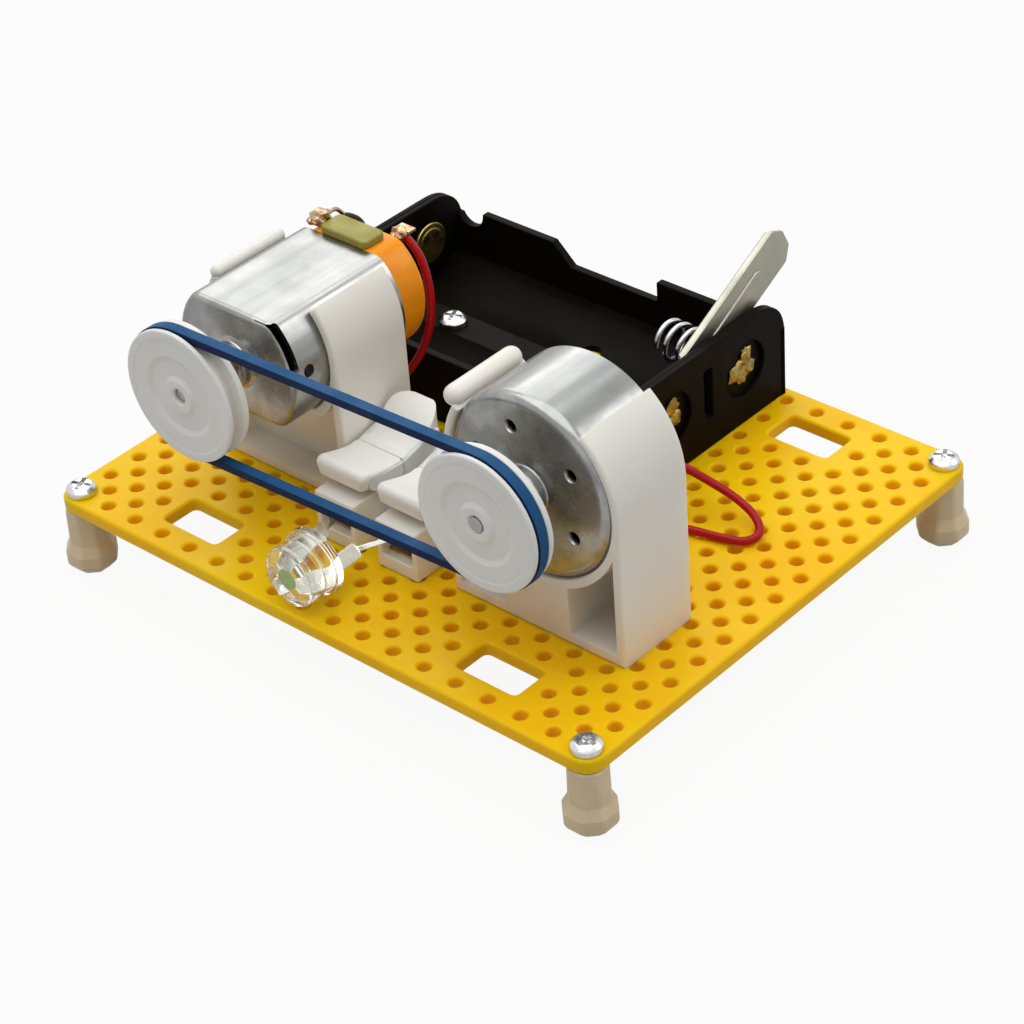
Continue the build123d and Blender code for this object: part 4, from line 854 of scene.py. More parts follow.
SHOULDER, CORNER_R, BORE_R, SHOULDER_STEPS = 0.9, 2.2, 1.95, 6
outer_line = flat_sided(DRIVE_R, DRIVE_FLAT, CORNER_R)
rings = [([(BORE_R * Vector(p).normalized().x, BORE_R * Vector(p).normalized().y) for p in outer_line], 0.0)]
for step in range(SHOULDER_STEPS + 1):
    a = math.radians(90 * step / SHOULDER_STEPS)
    inset = SHOULDER * (1 - math.sin(a))
    rings.append((flat_sided(DRIVE_R - inset, DRIVE_FLAT - inset, CORNER_R - inset),
                  -SHOULDER * (1 - math.cos(a))))
inner_line = flat_sided(DRIVE_R - WALL, DRIVE_FLAT - WALL, CORNER_R - WALL)
rings += [(rings[-1][0], -DRIVE_LONG), (inner_line, -DRIVE_LONG), (inner_line, -WALL),
          (rings[0][0], -WALL)]
can = loft(rings, drive_plane(0), ring=True)
side = facing_right(DRIVE_X + DRIVE_R + 1, DRIVE_FACE, AXIS_H)
WINDOW_AT, VENT_AT = (0.8, 4.5), (2.9, 0.9)
window = slab([rectangle(1.15, 5.8, 0.3, WINDOW_AT)], 7.0, 0.05, side)
vent = slab([circle(0.85, 24, VENT_AT)], 4.0, 0.05, side)
can = cut(can, window, vent)
boss = turned(rounded([(1.92, -0.6), (1.92, BOSS_LONG), (3.0, BOSS_LONG), (3.0, 0.35), (3.6, 0.0),
                       (3.6, -0.6)], [0, 0.1, 0.3, 0.3, 0.1, 0], 4), drive_plane(0), steps=48, closed=True)
show("drive_motor_shell", joined(can, boss), "can_steel", replaces=["drive_motor_can"], smooth=30)

# %% [markdown]
# ## End cap, capacitor and solder
# The orange end cap closes the can's back. On its top sits the flat resin body of the suppression
# capacitor between two solder lugs. Solder is never a clean shape, so each blob is a ball pushed about
# by noise, with the lead's bare strands ending in it.

# %% End cap
CAP_LONG, CAP_R, CAP_BORE, HOLLOW_R, HOLLOW_DEEP = 5.5, 9.1, 1.93, 6.3, 4.2
cap_plane = drive_plane(-DRIVE_LONG)
cap_back = drive_plane(-DRIVE_LONG - CAP_LONG)


def softened(radius, flat, corner, near, far, soft, steps=4):
    """Rings of a flat-sided block between two depths, with a soft edge at the far one."""
    rings = [(flat_sided(radius, flat, corner), near)]
    for step in range(steps + 1):
        a = math.radians(90 * step / steps)
        inset = soft * (1 - math.cos(a))
        rings.append((flat_sided(radius - inset, flat - inset, corner - inset),
                      far + soft * (1 - math.sin(a))))
    return rings


cap = loft(softened(CAP_R, DRIVE_FLAT, 3.0, 0.0, -CAP_LONG, 1.2, 6), cap_plane)
hollow = turned([(0, 0.5), (HOLLOW_R, 0.5), (HOLLOW_R, -HOLLOW_DEEP), (0, -HOLLOW_DEEP)], cap_plane, steps=48)
boss = turned(rounded([(CAP_BORE, -0.6), (3.0, -0.6), (3.0, 1.0), (CAP_BORE, 1.0)], [0.15, 0.35, 0, 0], 4),
              cap_back, steps=48, closed=True)
bore = turned([(0, 3), (CAP_BORE, 3), (CAP_BORE, -3), (0, -3)], cap_back, steps=40)
show("end_cap_moulding", joined(cut(cap, hollow, bore), boss), "orange_plastic",
     replaces=["drive_motor_end_cap"], smooth=35)

# %% Capacitor
RESIN_WIDE, RESIN_DEEP = 8.1, 3.9
resin_middle, resin_size = node_size("suppression_capacitor")
resin_plane = facing_up(DRIVE_X + 0.1, resin_middle.y - 0.3, resin_middle.z + resin_size.z / 2)
resin = slab([rectangle(RESIN_WIDE, RESIN_DEEP, 0.95)], resin_size.z, 0.3, resin_plane, rim_steps=4)
show("capacitor_body", resin, "capacitor_resin", replaces=["suppression_capacitor"])


# %% Solder blobs
def blob(centre, radii, rough=0.18, seed=0.0):
    """A ball of solder, pushed about by noise."""
    bm = bmesh.new()
    bmesh.ops.create_icosphere(bm, subdivisions=3, radius=1.0)
    for vert in bm.verts:
        push = 1 + rough * noise.noise(vert.co * 1.7 + Vector((seed, seed * 0.7, 1.3)))
        vert.co = Vector(c * r for c, r in zip(vert.co * push, radii)) * MM + centre
    return mesh_from(bm, "blob")


def strand(route, radius):
    """Bare wire through the points, as a mesh."""
    carrier = bpy.data.objects.new("strand", wire("strand", [spot(*at) for at in route], radius, 3))
    mesh = bpy.data.meshes.new_from_object(carrier)
    bpy.data.objects.remove(carrier)
    return mesh


left_y, right_y = DRIVE_FACE + DRIVE_LONG + 1.4, DRIVE_FACE + DRIVE_LONG + CAP_LONG
lug_left = facing_up(DRIVE_X - 5.6, left_y, AXIS_H + DRIVE_FLAT + 1.4)
lug_right = facing_front(DRIVE_X + 3.8, right_y + 1.4, AXIS_H + 7.0)
lugs = joined(
    slab([rectangle(2.4, 0.5, 0.1)], 1.7, 0.08, lug_left),
    slab([rectangle(2.4, 0.5, 0.1)], 1.4, 0.08, lug_right),
    blob(spot(DRIVE_X - 5.2, left_y + 0.4, AXIS_H + DRIVE_FLAT + 1.0), (1.25, 1.2, 1.0), 0.6, 1),
    blob(spot(DRIVE_X - 6.4, left_y + 0.1, AXIS_H + DRIVE_FLAT + 0.3), (0.9, 0.8, 0.6), 0.6, 7),
    blob(spot(DRIVE_X + 3.9, right_y + 0.8, AXIS_H + 7.0), (1.05, 0.85, 0.9), 0.5, 4),
    strand([(-28.7, 0.0, 28.9), (-29.2, 1.6, 29.0), (-29.5, 3.2, 28.0), (-29.6, 4.1, 26.5)], 0.3))
show("motor_lugs", lugs, "tinned_brass", replaces=["drive_motor_terminals"])

# %% [markdown]
# ## Brackets
# Both motor cradles are white mouldings: a foot with two arms that reach round the can, and a thick bead
# along the end of the left arm, for the finger that springs the motor in. The outline is the real
# one, so the arms are an arc inside an arc.

# %% Cradle outline
def cradle(outer, right_end, left_end, inner):
    """Foot and two arms, drawn about the bracket's middle at plate height; inner goes left to right."""
    shoulder_right = arc(outer, 0, right_end, 16, (0, AXIS_H))
    shoulder_left = arc(outer, 180 - left_end, 180, 16, (0, AXIS_H))
    return [(-outer, 0), (outer, 0)] + shoulder_right + inner + shoulder_left


def bead(radius, across, high, y_front, y_back, axis_x):
    """The round bead along an arm's end: a rod with ball ends."""
    long = y_back - y_front
    ends = arc(radius, 90, 0, 6)
    profile = [(x, -(radius - y)) for x, y in ends]
    profile += [(x, -long + (radius - y)) for x, y in reversed(ends)]
    return turned(profile, facing_front(axis_x + across, y_front, high), steps=24)


# %% Drive motor's bracket
bracket_middle, bracket_size = node_size("drive_motor_bracket")
DRIVE_OUT, DRIVE_DEEP = 11.45, bracket_size.y
DRIVE_BRACKET_Y = bracket_middle.y - DRIVE_DEEP / 2
SNUG = 0.05
seat_r = DRIVE_R + SNUG
half = math.degrees(math.asin((DRIVE_FLAT + SNUG) / seat_r))
right_end, left_end = 42.0, 34.4
ARM_WALL, POCKET_H, POCKET_DEEP = 1.35, 1.5, 4.3
inner = arc(seat_r, right_end, -half, 20, (0, AXIS_H))
inner += arc(seat_r, 180 + half, 180 - left_end, 20, (0, AXIS_H))
at = facing_front(DRIVE_X, DRIVE_BRACKET_Y)
arms = slab([cradle(DRIVE_OUT, right_end, left_end, inner)], DRIVE_DEEP, 0.45, at, rim_steps=4)
recess = [(-DRIVE_OUT + ARM_WALL, POCKET_H), (DRIVE_OUT - ARM_WALL, POCKET_H)]
reach = math.degrees(math.acos((DRIVE_OUT - ARM_WALL) / DRIVE_OUT))
recess += arc(DRIVE_OUT, -reach, -180 + reach, 30, (0, AXIS_H))
pocket = slab([rounded(recess, [0.5] * 2 + [0] * 31, 4)], POCKET_DEEP + 1, 0.02,
              facing_front(DRIVE_X, DRIVE_BRACKET_Y - 1))
arms = cut(arms, pocket)
bead_at = math.radians(180 - left_end)
bead_out = DRIVE_R + 1.23
rod = bead(0.9, math.cos(bead_at) * bead_out, AXIS_H + math.sin(bead_at) * bead_out,
           DRIVE_BRACKET_Y, DRIVE_BRACKET_Y + DRIVE_DEEP, DRIVE_X)
show("drive_cradle", joined(arms, rod), "ivory_plastic", replaces=["drive_motor_bracket"], smooth=35)

# %% Generator's bracket
gen_bracket_middle, gen_bracket_size = node_size("generator_bracket")
GEN_R, GEN_LONG = 12.2, 12.4
GEN_ARM, GEN_BACK_WALL, RIB_HALF = 1.1, 1.5, 5.0
GEN_SEAT, GEN_OUT, GEN_DEEP = GEN_R + SNUG, GEN_R + SNUG + GEN_ARM, gen_bracket_size.y
GEN_BRACKET_Y = gen_bracket_middle.y - GEN_DEEP / 2
right_end, left_end = 51.0, 32.0
inner = arc(GEN_SEAT, right_end, -180 - left_end, 72, (0, AXIS_H))
at = facing_front(GEN_X, GEN_BRACKET_Y)
arms = slab([cradle(GEN_OUT, right_end, left_end, inner)], GEN_DEEP, 0.42, at, rim_steps=4)
low_angle = math.degrees(math.acos((GEN_OUT - GEN_ARM) / GEN_OUT))
high_angle = math.degrees(math.acos(RIB_HALF / GEN_OUT))
edge = arc(GEN_OUT, -low_angle, -high_angle, 12, (0, AXIS_H))
pockets = []
for side in (-1, 1):
    shape = [(RIB_HALF, POCKET_H), (GEN_OUT - GEN_ARM, POCKET_H)] + edge
    shape = rounded([(side * x, y) for x, y in shape], [0.4, 0.4] + [0] * len(edge), 4)
    pockets.append(slab([shape], GEN_DEEP - GEN_BACK_WALL + 1, 0.02,
                        facing_front(GEN_X, GEN_BRACKET_Y - 1)))
arms = cut(arms, *pockets)
bead_at = math.radians(180 - left_end)
bead_out = GEN_R + 1.9
rod = bead(1.35, math.cos(bead_at) * bead_out, AXIS_H + math.sin(bead_at) * bead_out,
           GEN_BRACKET_Y, GEN_BRACKET_Y + GEN_DEEP, GEN_X)
show("generator_cradle", joined(arms, rod), "ivory_plastic", replaces=["generator_bracket"], smooth=35)

# %% [markdown]
# ## Generator
# The generator is a short round can of bare metal, turned as one profile with a rounded shoulder and a boss
# round the bearing. Its face has four holes with countersunk edges, which are cut out by cones.

# %% The can
gen_can_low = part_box("generator_can")[0]
GEN_FACE = (gen_can_low.y - PLATE_MIDDLE.y) / MM + BOSS_LONG
HOLE_OUT = 8.0


def gen_plane(ahead):
    return facing_front(GEN_X, GEN_FACE - ahead, AXIS_H)


shell = [(1.92, -WALL), (1.92, BOSS_LONG), (3.0, BOSS_LONG), (3.0, 0.0), (GEN_R, 0.0), (GEN_R, -GEN_LONG),
         (GEN_R - WALL, -GEN_LONG), (GEN_R - WALL, -WALL)]
can = turned(rounded(shell, [0, 0.15, 0.35, 0.4, 1.5, 0.15, 0.1, 0.9], 8), gen_plane(0), steps=128,
             closed=True)
drills = []
for angle in (105, 33, -33, 162):
    x, z = HOLE_OUT * math.cos(math.radians(angle)), HOLE_OUT * math.sin(math.radians(angle))
    drills.append(turned([(0, 0.5), (1.2, 0.5), (0.72, -0.35), (0.72, -1.5), (0, -1.5)],
                         facing_front(GEN_X + x, GEN_FACE, AXIS_H + z), steps=24))
show("generator_shell", cut(can, *drills), "can_steel", replaces=["generator_can"], smooth=35)

# %% [markdown]
# ## Battery box
# The box is an open black moulding. Its four walls all differ: the back wall has a notch and a long dip, both
# end walls stand higher and are rounded at the back, and round recesses in them hold the contacts'
# riveted ends. The floor is a double cradle. Each wall is a slab, so each keeps its own soft edge.

# %% Walls and floor
box_low, box_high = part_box("battery_box")
BOX_LEFT, BOX_RIGHT = box_low.x / MM, box_high.x / MM
BOX_FRONT, BOX_BACK = (box_low.y - PLATE_MIDDLE.y) / MM, (box_high.y - PLATE_MIDDLE.y) / MM
BOX_MIDDLE = (BOX_FRONT + BOX_BACK) / 2
BOX_LONG, BOX_WIDE, BOX_WALL, BOX_END = BOX_RIGHT - BOX_LEFT, BOX_BACK - BOX_FRONT, 1.2, 1.5
SIDE_H, RIGHT_H, LEFT_H, CORNER, RECESS = 10.2, 15.0, 13.0, 6.0, 0.7
CELL_H, CELL_GAP, CRADLE_R = 8.1, 7.5, 7.3
CELL_FRONT, CELL_BACK = BOX_MIDDLE - CELL_GAP, BOX_MIDDLE + CELL_GAP
SOFT = 0.18


def end_wall(x_out, tall, outwards):
    """An end wall: a recessed outer layer and a plain inner one, both with the rivet holes."""
    half = BOX_WIDE / 2
    corners = [(-half, 0), (half, 0), (half, tall), (-half, tall)]
    outline = rounded(corners, [0.3, 0.3, CORNER, 0.5], 12)
    slot = rectangle(1.7, 7.6, 0.3, (0, CELL_H))
    opening = [slot] if outwards > 0 else []
    recess = [circle(4.0, 40, (s * CELL_GAP, CELL_H)) for s in (-1, 1)]
    rivet = [circle(1.23, 24, (s * CELL_GAP, CELL_H)) for s in (-1, 1)]
    outer_x = x_out if outwards > 0 else x_out + RECESS
    inner_x = x_out - RECESS if outwards > 0 else x_out + BOX_END
    return joined(slab([outline] + recess + opening, RECESS + SOFT, SOFT, facing_right(outer_x, BOX_MIDDLE)),
                  slab([outline] + rivet + opening, 0.8, SOFT, facing_right(inner_x, BOX_MIDDLE)))


notch = arc(2.3, 205, 350, 14, (4.0, 9.9))
back_top = [(0, 0), (0, 8.9)] + notch + [(6.35, SIDE_H), (19.2, SIDE_H), (22.4, 7.2), (37.4, 7.2),
                                         (37.4, SIDE_H), (BOX_LONG, SIDE_H), (BOX_LONG, 0)]
back_top = rounded(back_top, [0, 0.1] + [0] * len(notch) + [0.2, 0.3, 0.5, 0.5, 0.3, 0, 0], 5)
floor_half = BOX_WIDE / 2 - 0.3
reach = math.degrees(math.acos((CELL_H - BOX_FLOOR) / CRADLE_R))
dips = []
for side in (1, -1):
    dips += arc(CRADLE_R, -90 + reach, -90 - reach, 24, (side * CELL_GAP, CELL_H))
floor_line = [(-floor_half, 0.0), (floor_half, 0.0), (floor_half, BOX_FLOOR)] + dips + [
    (-floor_half, BOX_FLOOR)]
floor = slab([floor_line], BOX_LONG - 0.6, 0.02, facing_right(BOX_RIGHT - 0.3, BOX_MIDDLE))


def drill(radius, top, x, y, steps):
    """A round cutter from below the plate's top face up to a height."""
    return turned([(0, top), (radius, top), (radius, -1), (0, -1)], facing_up(x, y), steps=steps)


spare = [drill(1.5, 5, -9.9, CELL_BACK, 28), drill(1.5, 5, -15.1, CELL_FRONT, 28)]
screw_holes = [drill(0.95, 5, x, y, 20) for x, y in BOX_SCREWS]
corner_relief = drill(2.3, 1.65, -LEG_X, LEG_Y, 36)
floor = cut(floor, *spare, *screw_holes, corner_relief)
walls = joined(
    slab([back_top], BOX_WALL, SOFT, facing_front(BOX_LEFT, BOX_BACK - BOX_WALL)),
    slab([[(0, 0), (BOX_LONG, 0), (BOX_LONG, SIDE_H), (0, SIDE_H)]], BOX_WALL, SOFT,
         facing_front(BOX_LEFT, BOX_FRONT)),
    end_wall(BOX_RIGHT, RIGHT_H, 1))
left = cut(end_wall(BOX_LEFT, LEFT_H, -1), corner_relief)
show("cell_box", joined(floor, walls, left), "black_plastic", replaces=["battery_box"], smooth=35)


# %% [markdown]
# ## Contacts, springs and switch
# Brass rivets hold the contacts. Their outer ends are rolled over and split into lobes, which catch the light
# against the black wall. The springs are round bright wire, each wound as one curve. The switch blade is
# a stamped grey strip with a folded lip and a pressed rib, which turns on the front rivet.

# %% Contacts
def rivet_rose(x, y, out):
    """The rolled end of a hollow rivet, split into three petals, with a fourth bent away from them."""
    petals = []
    for n, (across, up, size) in enumerate(((-1.45, -0.4, 1.1), (0.1, -1.4, 1.0), (1.4, -0.5, 1.1),
                                            (1.0, 1.5, 1.05))):
        petals.append(blob(spot(x - out * 0.3, y + across, CELL_H + up), (0.3, size, size), 0.5, n + y))
    at = (facing_right if out > 0 else facing_left)(x, y, CELL_H)
    well = turned(rounded([(0.55, -0.2), (1.0, -0.05), (1.3, -0.4), (1.3, -0.8), (0.55, -0.8)],
                          [0.1, 0.2, 0.1, 0, 0], 3), at, steps=32, closed=True)
    return joined(well, *petals)


for node in ("contact_front_right", "contact_back_right", "contact_back_left", "contact_front_left"):
    middle, size = node_size(node)
    out = 1 if node.endswith("right") else -1
    outer_x = middle.x + out * size.x / 2
    inner_x = middle.x - out * size.x / 2
    inner = (facing_left if out > 0 else facing_right)(inner_x, middle.y, CELL_H)
    disc = turned(rounded([(0, 0), (2.1, 0.0), (2.3, -0.1), (3.0, -0.1), (3.0, -0.4), (0, -0.4)],
                          [0, 0.1, 0.1, 0.15, 0.1, 0], 3, closed=False), inner, steps=48)
    stem = turned([(0, -0.3), (1.2, -0.3), (1.2, -size.x + 0.35), (0, -size.x + 0.35)], inner, steps=32)
    rose = rivet_rose(outer_x, middle.y, out)
    show(node.replace("contact", "rivet"), joined(disc, stem, rose), "contact_brass", replaces=[node],
         smooth=35)


# %% Springs
WIRE_R, SPRING_R, SPRING_LONG, TURNS, TURN_STEPS = 0.37, 3.0, 10.0, 4.5, 16


def coil(name, root_x, y, side):
    """A compression spring from its contact plate towards the cell; its turns close up at the far end."""
    points = []
    for i in range(int(TURNS * TURN_STEPS) + 1):
        turn = i / TURN_STEPS
        share = turn / TURNS
        rise = (SPRING_LONG - 2 * WIRE_R - 0.1) * (1.15 * share - 0.15 * share ** 4)
        a = 2 * math.pi * turn
        r = SPRING_R - WIRE_R
        points.append(spot(root_x, y, CELL_H) + Vector((-side * (WIRE_R + 0.02 + rise), r * math.cos(a),
                                                       r * math.sin(a))) * MM)
    shown = bpy.data.objects.new(name + "_coil", wire(name, points, WIRE_R, 4, order=4, steps=6))
    stand_in(shown, "spring_steel", "frame", [name])
    print("coil", name, TURNS, "turns")


coil("battery_spring_back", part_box("battery_spring_back")[1].x / MM, CELL_BACK, 1)
coil("battery_spring_front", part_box("battery_spring_front")[0].x / MM, CELL_FRONT, -1)

# %% Switch blade
BLADE_LONG, BLADE_TALL, BLADE_THICK, REST = 29.6, 6.4, 0.5, math.radians(27.0)
RIB_PROUD, TIP_LONG, TIP_DROP = 0.2, 1.6, 1.8
blade_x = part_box("switch_blade")[1].x / MM - RIB_PROUD
along = BACK * math.cos(REST) + UP * math.sin(REST)
square = UP * math.cos(REST) - BACK * math.sin(REST)
half, tip = BLADE_TALL / 2, BLADE_LONG - TIP_LONG
strip = arc(half, 270, 90, 20) + rounded(
    [(0.1, half), (tip, half), (BLADE_LONG, half - TIP_DROP), (BLADE_LONG, -half + TIP_DROP),
     (tip, -half), (0.1, -half)], [0, 0.5, 0.5, 0.5, 0.5, 0], 4, closed=False)
sheet = slab([strip, circle(1.25, 24)], BLADE_THICK, 0.1,
             plane(spot(blade_x, CELL_FRONT, CELL_H), along, square))
lip_plane = plane(spot(blade_x, CELL_FRONT, CELL_H) + square * (half + 0.04) * MM, along, -RIGHT)
lip = slab([rounded([(7.0, 0.05), (tip, 0.05), (tip - 0.2, 0.98), (7.4, 0.98)],
                    [0.1, 0.1, 0.3, 0.3], 4)], BLADE_THICK, 0.15, lip_plane)
rib_line = arc(0.9, 90, 270, 12, (10.3, -0.2)) + arc(1.3, -90, 90, 12, (22.6, -0.2))
rib = slab([rib_line], 0.45, 0.2, plane(spot(blade_x + RIB_PROUD, CELL_FRONT, CELL_H), along, square),
           rim_steps=4)
show("knife_blade", joined(sheet, lip, rib), "blade_steel", body="switch_blade",
     replaces=["switch_blade"], smooth=35)

# %% [markdown]
# ## Terminal block
# Two ivory columns with a window at each end for the wire, joined by a low web. Each end has a lever that
# turns on two studs and opens the spring clamp when it is pressed. A front and a back lever together look
# like one saddle, which dips in the middle. Their side view is a smooth curve through a few
# points, given a width with a generous soft rim and drawn in a little towards the column.

# %% Columns
block_middle, block_size = node_size("terminal_block")
BLOCK_X, BLOCK_Y, BLOCK_LONG = block_middle.x, block_middle.y, block_size.y
COLUMN_WIDE, COLUMN_GAP, COLUMN_H = 6.6, 10.3, 7.0
COLUMN_X = (BLOCK_X - COLUMN_GAP / 2, BLOCK_X + COLUMN_GAP / 2)
BLOCK_FRONT = BLOCK_Y - BLOCK_LONG / 2
WINDOW_DEEP = BLOCK_LONG / 2 - 0.6
blocks = []
STUD_Y, STUD_H, STUD_R, STUD_END = 2.0, 5.5, 0.9, 4.1
column_line = rectangle(COLUMN_WIDE, COLUMN_H, 0.3, (0, COLUMN_H / 2))
window = rectangle(5.0, 3.5, 0.3, (0, 3.75))
stud_line = rounded([(0, STUD_END), (STUD_R, STUD_END), (STUD_R, -STUD_END), (0, -STUD_END)],
                    [0, 0.2, 0.2, 0], 3, closed=False)
for x in COLUMN_X:
    blocks += [slab([column_line, window], WINDOW_DEEP + 0.3, 0.2, facing_front(x, BLOCK_FRONT)),
               slab([column_line], 1.8, 0.2, facing_front(x, BLOCK_Y - 0.9)),
               slab([column_line, window], WINDOW_DEEP + 0.3, 0.2, facing_front(x, BLOCK_Y + 0.3))]
    blocks += [turned(stud_line, facing_right(x, BLOCK_Y + y, STUD_H), steps=24) for y in (-STUD_Y, STUD_Y)]
web = slab([rectangle(COLUMN_GAP, BLOCK_LONG - 7.0)], 3.0, 0.15, facing_up(BLOCK_X, BLOCK_Y, 3.0))
show("clamp_block", joined(*blocks, web), "ivory_plastic", replaces=["terminal_block"], smooth=35)


# %% Levers
def smooth_line(points, steps=6):
    """A closed smooth curve through the points, in the manner of Catmull and Rom."""
    made = []
    count = len(points)
    for i in range(count):
        p0, p1, p2, p3 = (Vector(points[(i + k - 1) % count]) for k in range(4))
        for s in range(steps):
            t = s / steps
            made.append(tuple(0.5 * (2 * p1 + (p2 - p0) * t + (2 * p0 - 5 * p1 + 4 * p2 - p3) * t ** 2
                                     + (3 * p1 - p0 - 3 * p2 + p3) * t ** 3)))
    return made


LEVER_WIDE, CHEEK, TAPER, NOSE_R = 8.2, 0.65, 0.05, 3.95
front_side = [(0.05, 7.45), (0.05, 9.62), (1.6, 9.72), (3.4, 10.05), (5.2, 10.6), (6.6, 10.95),
              (7.35, 10.4), (7.35, 9.3), (7.05, 8.35), (5.0, 7.85), (2.6, 7.4)]
back_side = [(0.05, 7.45), (0.05, 9.62), (1.8, 9.75), (3.6, 10.5), (5.6, 12.1), (7.4, 12.95),
             (8.6, 12.85), (8.75, 11.9), (8.0, 9.9), (6.8, 8.6), (5.0, 7.85), (2.6, 7.4)]
skirts = {"front": [(3.7, 6.7), (6.1, 8.4), (6.3, 9.7), (0.06, 9.3), (0.06, 6.6)],
          "back": [(3.7, 6.7), (6.6, 8.8), (6.9, 10.9), (0.06, 9.3), (0.06, 6.6)]}


def saddle(x, out, shape):
    """Half of a clamp's saddle: wide on top, drawn in towards the column below."""
    line = [(out * u, v) for u, v in [shape[0], shape[1]] + smooth_line(shape)[9:]]
    top = slab([line], LEVER_WIDE, 0.7, facing_right(x + LEVER_WIDE / 2, BLOCK_Y), rim_steps=5)
    middle = spot(x, BLOCK_Y, 10.0)
    for vert in top.vertices:
        below = max(0.0, (middle.z - vert.co.z) / MM)
        vert.co.x = middle.x + (vert.co.x - middle.x) * (1 - TAPER * below)
    return top


for side, out, shape in (("front", -1, front_side), ("back", 1, back_side)):
    for name, x in (("left", COLUMN_X[0]), ("right", COLUMN_X[1])):
        top = saddle(x, out, shape)
        if side == "back":
            end = 8.85 - NOSE_R
            nose = [(12, end), (12, 14), (-12, 14), (-12, end)] + arc(NOSE_R, 180, 0, 28, (0, end))
            top = cut(top, slab([nose], 12.0, 0.02, facing_up(x, BLOCK_Y, 18.0)))
        skirt = arc(1.7, 180, 360, 16, (STUD_Y, STUD_H)) + skirts[side]
        skirt = [(out * u, v) for u, v in rounded(skirt, [0] * 17 + [0.8, 1.2, 0.6, 0.1, 0.3], 4)]
        eye = circle(0.95, 20, (out * STUD_Y, STUD_H))
        cheeks = [slab([skirt, eye], CHEEK, 0.15, facing_right(face_x, BLOCK_Y))
                  for face_x in (x + COLUMN_WIDE / 2 + CHEEK + 0.1, x - COLUMN_WIDE / 2 - 0.1)]
        show(f"lever_{side}_{name}_saddle", joined(top, *cheeks), "white_plastic",
             body=f"lever_{side}_{name}", replaces=[f"terminal_lever_{side}_{name}"], smooth=35)

# %% [markdown]
# ## LED
# The LED is a clear round body with a flange. Inside sit a yellow-green phosphor disc and the two ends of the
# lead frame, which the epoxy magnifies. The lens really bends the light, so those inner pieces
# are modelled and seen through it.

# %% Lens
led_low, led_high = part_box("led_lens")
LED_BACK = (led_high.y - PLATE_MIDDLE.y) / MM
LED_X, LED_H = BLOCK_X, ((led_low.z + led_high.z) / 2 - PLATE_TOP) / MM
led_plane = facing_front(LED_X, LED_BACK, LED_H)
lens = rounded([(0, 5.5), (2.4, 5.42), (4.0, 5.0), (4.0, 2.9), (3.85, 2.7), (4.0, 2.5), (4.0, 1.0),
                (4.5, 1.0), (4.5, 0.0), (0, 0.0)], [0, 2.0, 0.5, 0.1, 0.1, 0.1, 0.2, 0.15, 0.15, 0], 6,
               closed=False)
show("led_body", turned(lens, led_plane, steps=96), "clear_lens", replaces=["led_lens"], smooth=40)

# %% Phosphor disc
disc = turned(rounded([(0, 5.0), (1.4, 5.0), (1.4, 4.7), (0, 4.7)], [0, 0.1, 0.1, 0], 3,
                      closed=False), led_plane, steps=40)
show("led_disc", disc, "phosphor", replaces=["led_phosphor"])

# %% Lead frame and leads
LEAD_TWIST, LEAD_EDGE = math.radians(-40), 0.06


def flat_lead(points, widths, thick=0.5):
    """A flat strip bent through the points, with its own width at each."""
    bm = bmesh.new()
    rings = []
    turn = Vector((math.cos(LEAD_TWIST), 0, math.sin(LEAD_TWIST)))
    for at, wide in zip(points, widths):
        edge = turn * wide / 2 * MM
        face = turn.cross(BACK) * thick / 2 * MM
        rings.append([bm.verts.new(spot(*at) + e + f) for e, f in
                      ((-edge, -face), (edge, -face), (edge, face), (-edge, face))])
    for one, two in zip(rings, rings[1:]):
        bridge(bm, one, two)
    bm.faces.new(rings[0])
    bm.faces.new(rings[-1])
    bmesh.ops.bevel(bm, geom=bm.edges, offset=LEAD_EDGE * MM, segments=2, affect="EDGES")
    return mesh_from(bm, "lead")


left_x, right_x = COLUMN_X[0] + 0.5, COLUMN_X[1] - 0.6
left_route = [(LED_X - 1.0, LED_BACK - 4.4, LED_H + 0.7), (LED_X - 1.15, LED_BACK, LED_H + 1.6),
              (LED_X - 2.9, LED_BACK + 4.4, LED_H + 0.7), (LED_X - 3.0, LED_BACK + 4.6, LED_H + 0.6),
              (left_x - 0.1, BLOCK_FRONT - 0.1, LED_H - 0.8), (left_x, BLOCK_FRONT + 3.0, LED_H - 0.9)]
right_route = [(LED_X + 0.8, LED_BACK - 4.0, LED_H - 0.9), (LED_X + 1.1, LED_BACK, LED_H - 1.7),
               (LED_X + 1.35, LED_BACK + 5.3, LED_H - 1.25), (LED_X + 1.4, LED_BACK + 5.5, LED_H - 1.2),
               (LED_X + 3.1, BLOCK_FRONT - 0.1, LED_H - 0.9), (right_x, BLOCK_FRONT + 3.0, LED_H - 0.8)]
wire_widths = [2.0, 2.0, 2.0, 0.6, 0.6, 0.6]
leads = joined(flat_lead(left_route, wire_widths), flat_lead(right_route, wire_widths))
show("led_strips", leads, "tinned_steel", replaces=["led_leads"], smooth=35)

# %% [markdown]
# ## Floor and light
# A plain white floor and three soft lamps: a large one overhead, a little to the front and left, and two
# weaker ones behind, left and right, which draw the light edges. What the camera, reflections and
# refraction see of the world is white; everything else is lit by a dimmer, even grey, so
# colours render about as they are written.

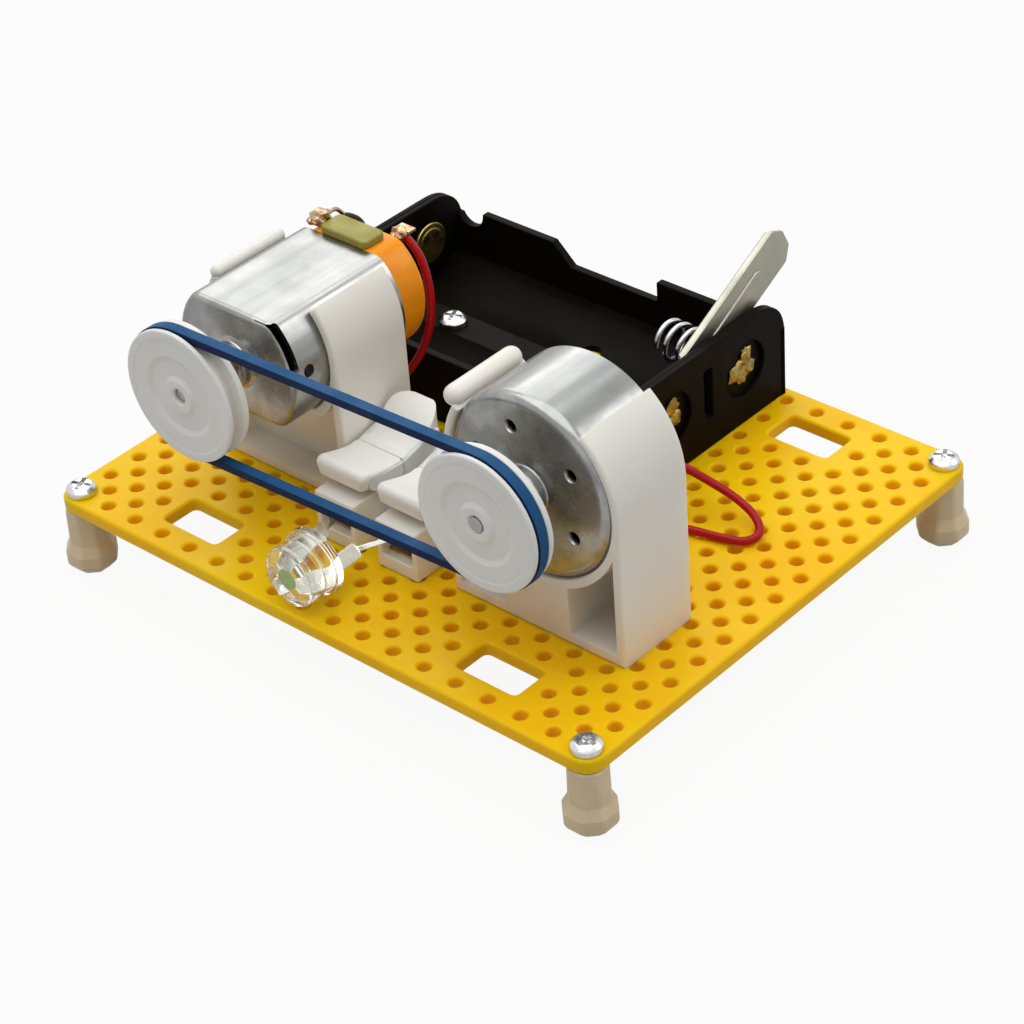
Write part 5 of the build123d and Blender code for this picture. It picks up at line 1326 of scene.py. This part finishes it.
# %% Floor
floor_mesh = bpy.data.meshes.new("studio_floor")
bm = bmesh.new()
bmesh.ops.create_grid(bm, x_segments=8, y_segments=8, size=1.5)
bm.to_mesh(floor_mesh)
bm.free()
studio_floor = bpy.data.objects.new("studio_floor", floor_mesh)
bpy.context.scene.collection.objects.link(studio_floor)
paper = bpy.data.materials.new("white_paper")
paper.use_nodes = True
tree = paper.node_tree
matt = tree.nodes["Principled BSDF"]
matt.inputs["Base Color"].default_value = (0.58, 0.58, 0.58, 1)
matt.inputs["Roughness"].default_value = 0.9
matt.inputs["Specular IOR Level"].default_value = 0.0
glow = place(tree, "ShaderNodeEmission", strength=1.0)
seen = place(tree, "ShaderNodeLightPath")
MIRRORED, WHITENED = 0.4, 0.93
direct = worked_out(tree, "MAXIMUM", seen.outputs["Is Camera Ray"], seen.outputs["Is Transmission Ray"])
mirror = worked_out(tree, "MULTIPLY", seen.outputs["Is Glossy Ray"], MIRRORED)
either = worked_out(tree, "MAXIMUM", direct, mirror)
share = worked_out(tree, "MULTIPLY", either, WHITENED)
blend = place(tree, "ShaderNodeMixShader", {0: share, 1: matt.outputs[0], 2: glow.outputs[0]})
tree.links.new(blend.outputs[0], tree.nodes["Material Output"].inputs["Surface"])
floor_mesh.materials.append(paper)

# %% World
world = bpy.data.worlds.new("studio")
bpy.context.scene.world = world
world.use_nodes = True
tree = world.node_tree
tree.nodes.clear()
seen = place(tree, "ShaderNodeLightPath")
straight = worked_out(tree, "MAXIMUM", seen.outputs["Is Camera Ray"], seen.outputs["Is Glossy Ray"])
through = worked_out(tree, "MAXIMUM", straight, seen.outputs["Is Transmission Ray"])
even_light = place(tree, "ShaderNodeBackground", color=(0.97, 0.98, 1.0, 1), strength=0.27)
white = place(tree, "ShaderNodeBackground", color=(1, 1, 1, 1), strength=1.0)
either = place(tree, "ShaderNodeMixShader", {0: through, 1: even_light.outputs[0], 2: white.outputs[0]})
out = place(tree, "ShaderNodeOutputWorld", {"Surface": either.outputs[0]})


# %% Lamps
def soft_light(name, where, aim, size, watts):
    """A square area light that looks at a point."""
    data = bpy.data.lights.new(name, "AREA")
    data.shape, data.size, data.energy = "SQUARE", size, watts
    shown = bpy.data.objects.new(name, data)
    shown.location = where
    shown.rotation_mode = "QUATERNION"
    shown.rotation_quaternion = (Vector(where) - Vector(aim)).to_track_quat("Z", "Y")
    bpy.context.scene.collection.objects.link(shown)


soft_light("overhead", (-0.06, -0.06, 0.68), (0, 0, 0.02), 0.9, 4.6)
soft_light("behind_left", (-0.40, 0.41, 0.42), (0, 0, 0.03), 0.4, 0.8)
soft_light("behind_right", (0.44, 0.42, 0.46), (0, 0, 0.02), 0.36, 1.0)
bpy.context.scene.view_settings.view_transform = "Standard"
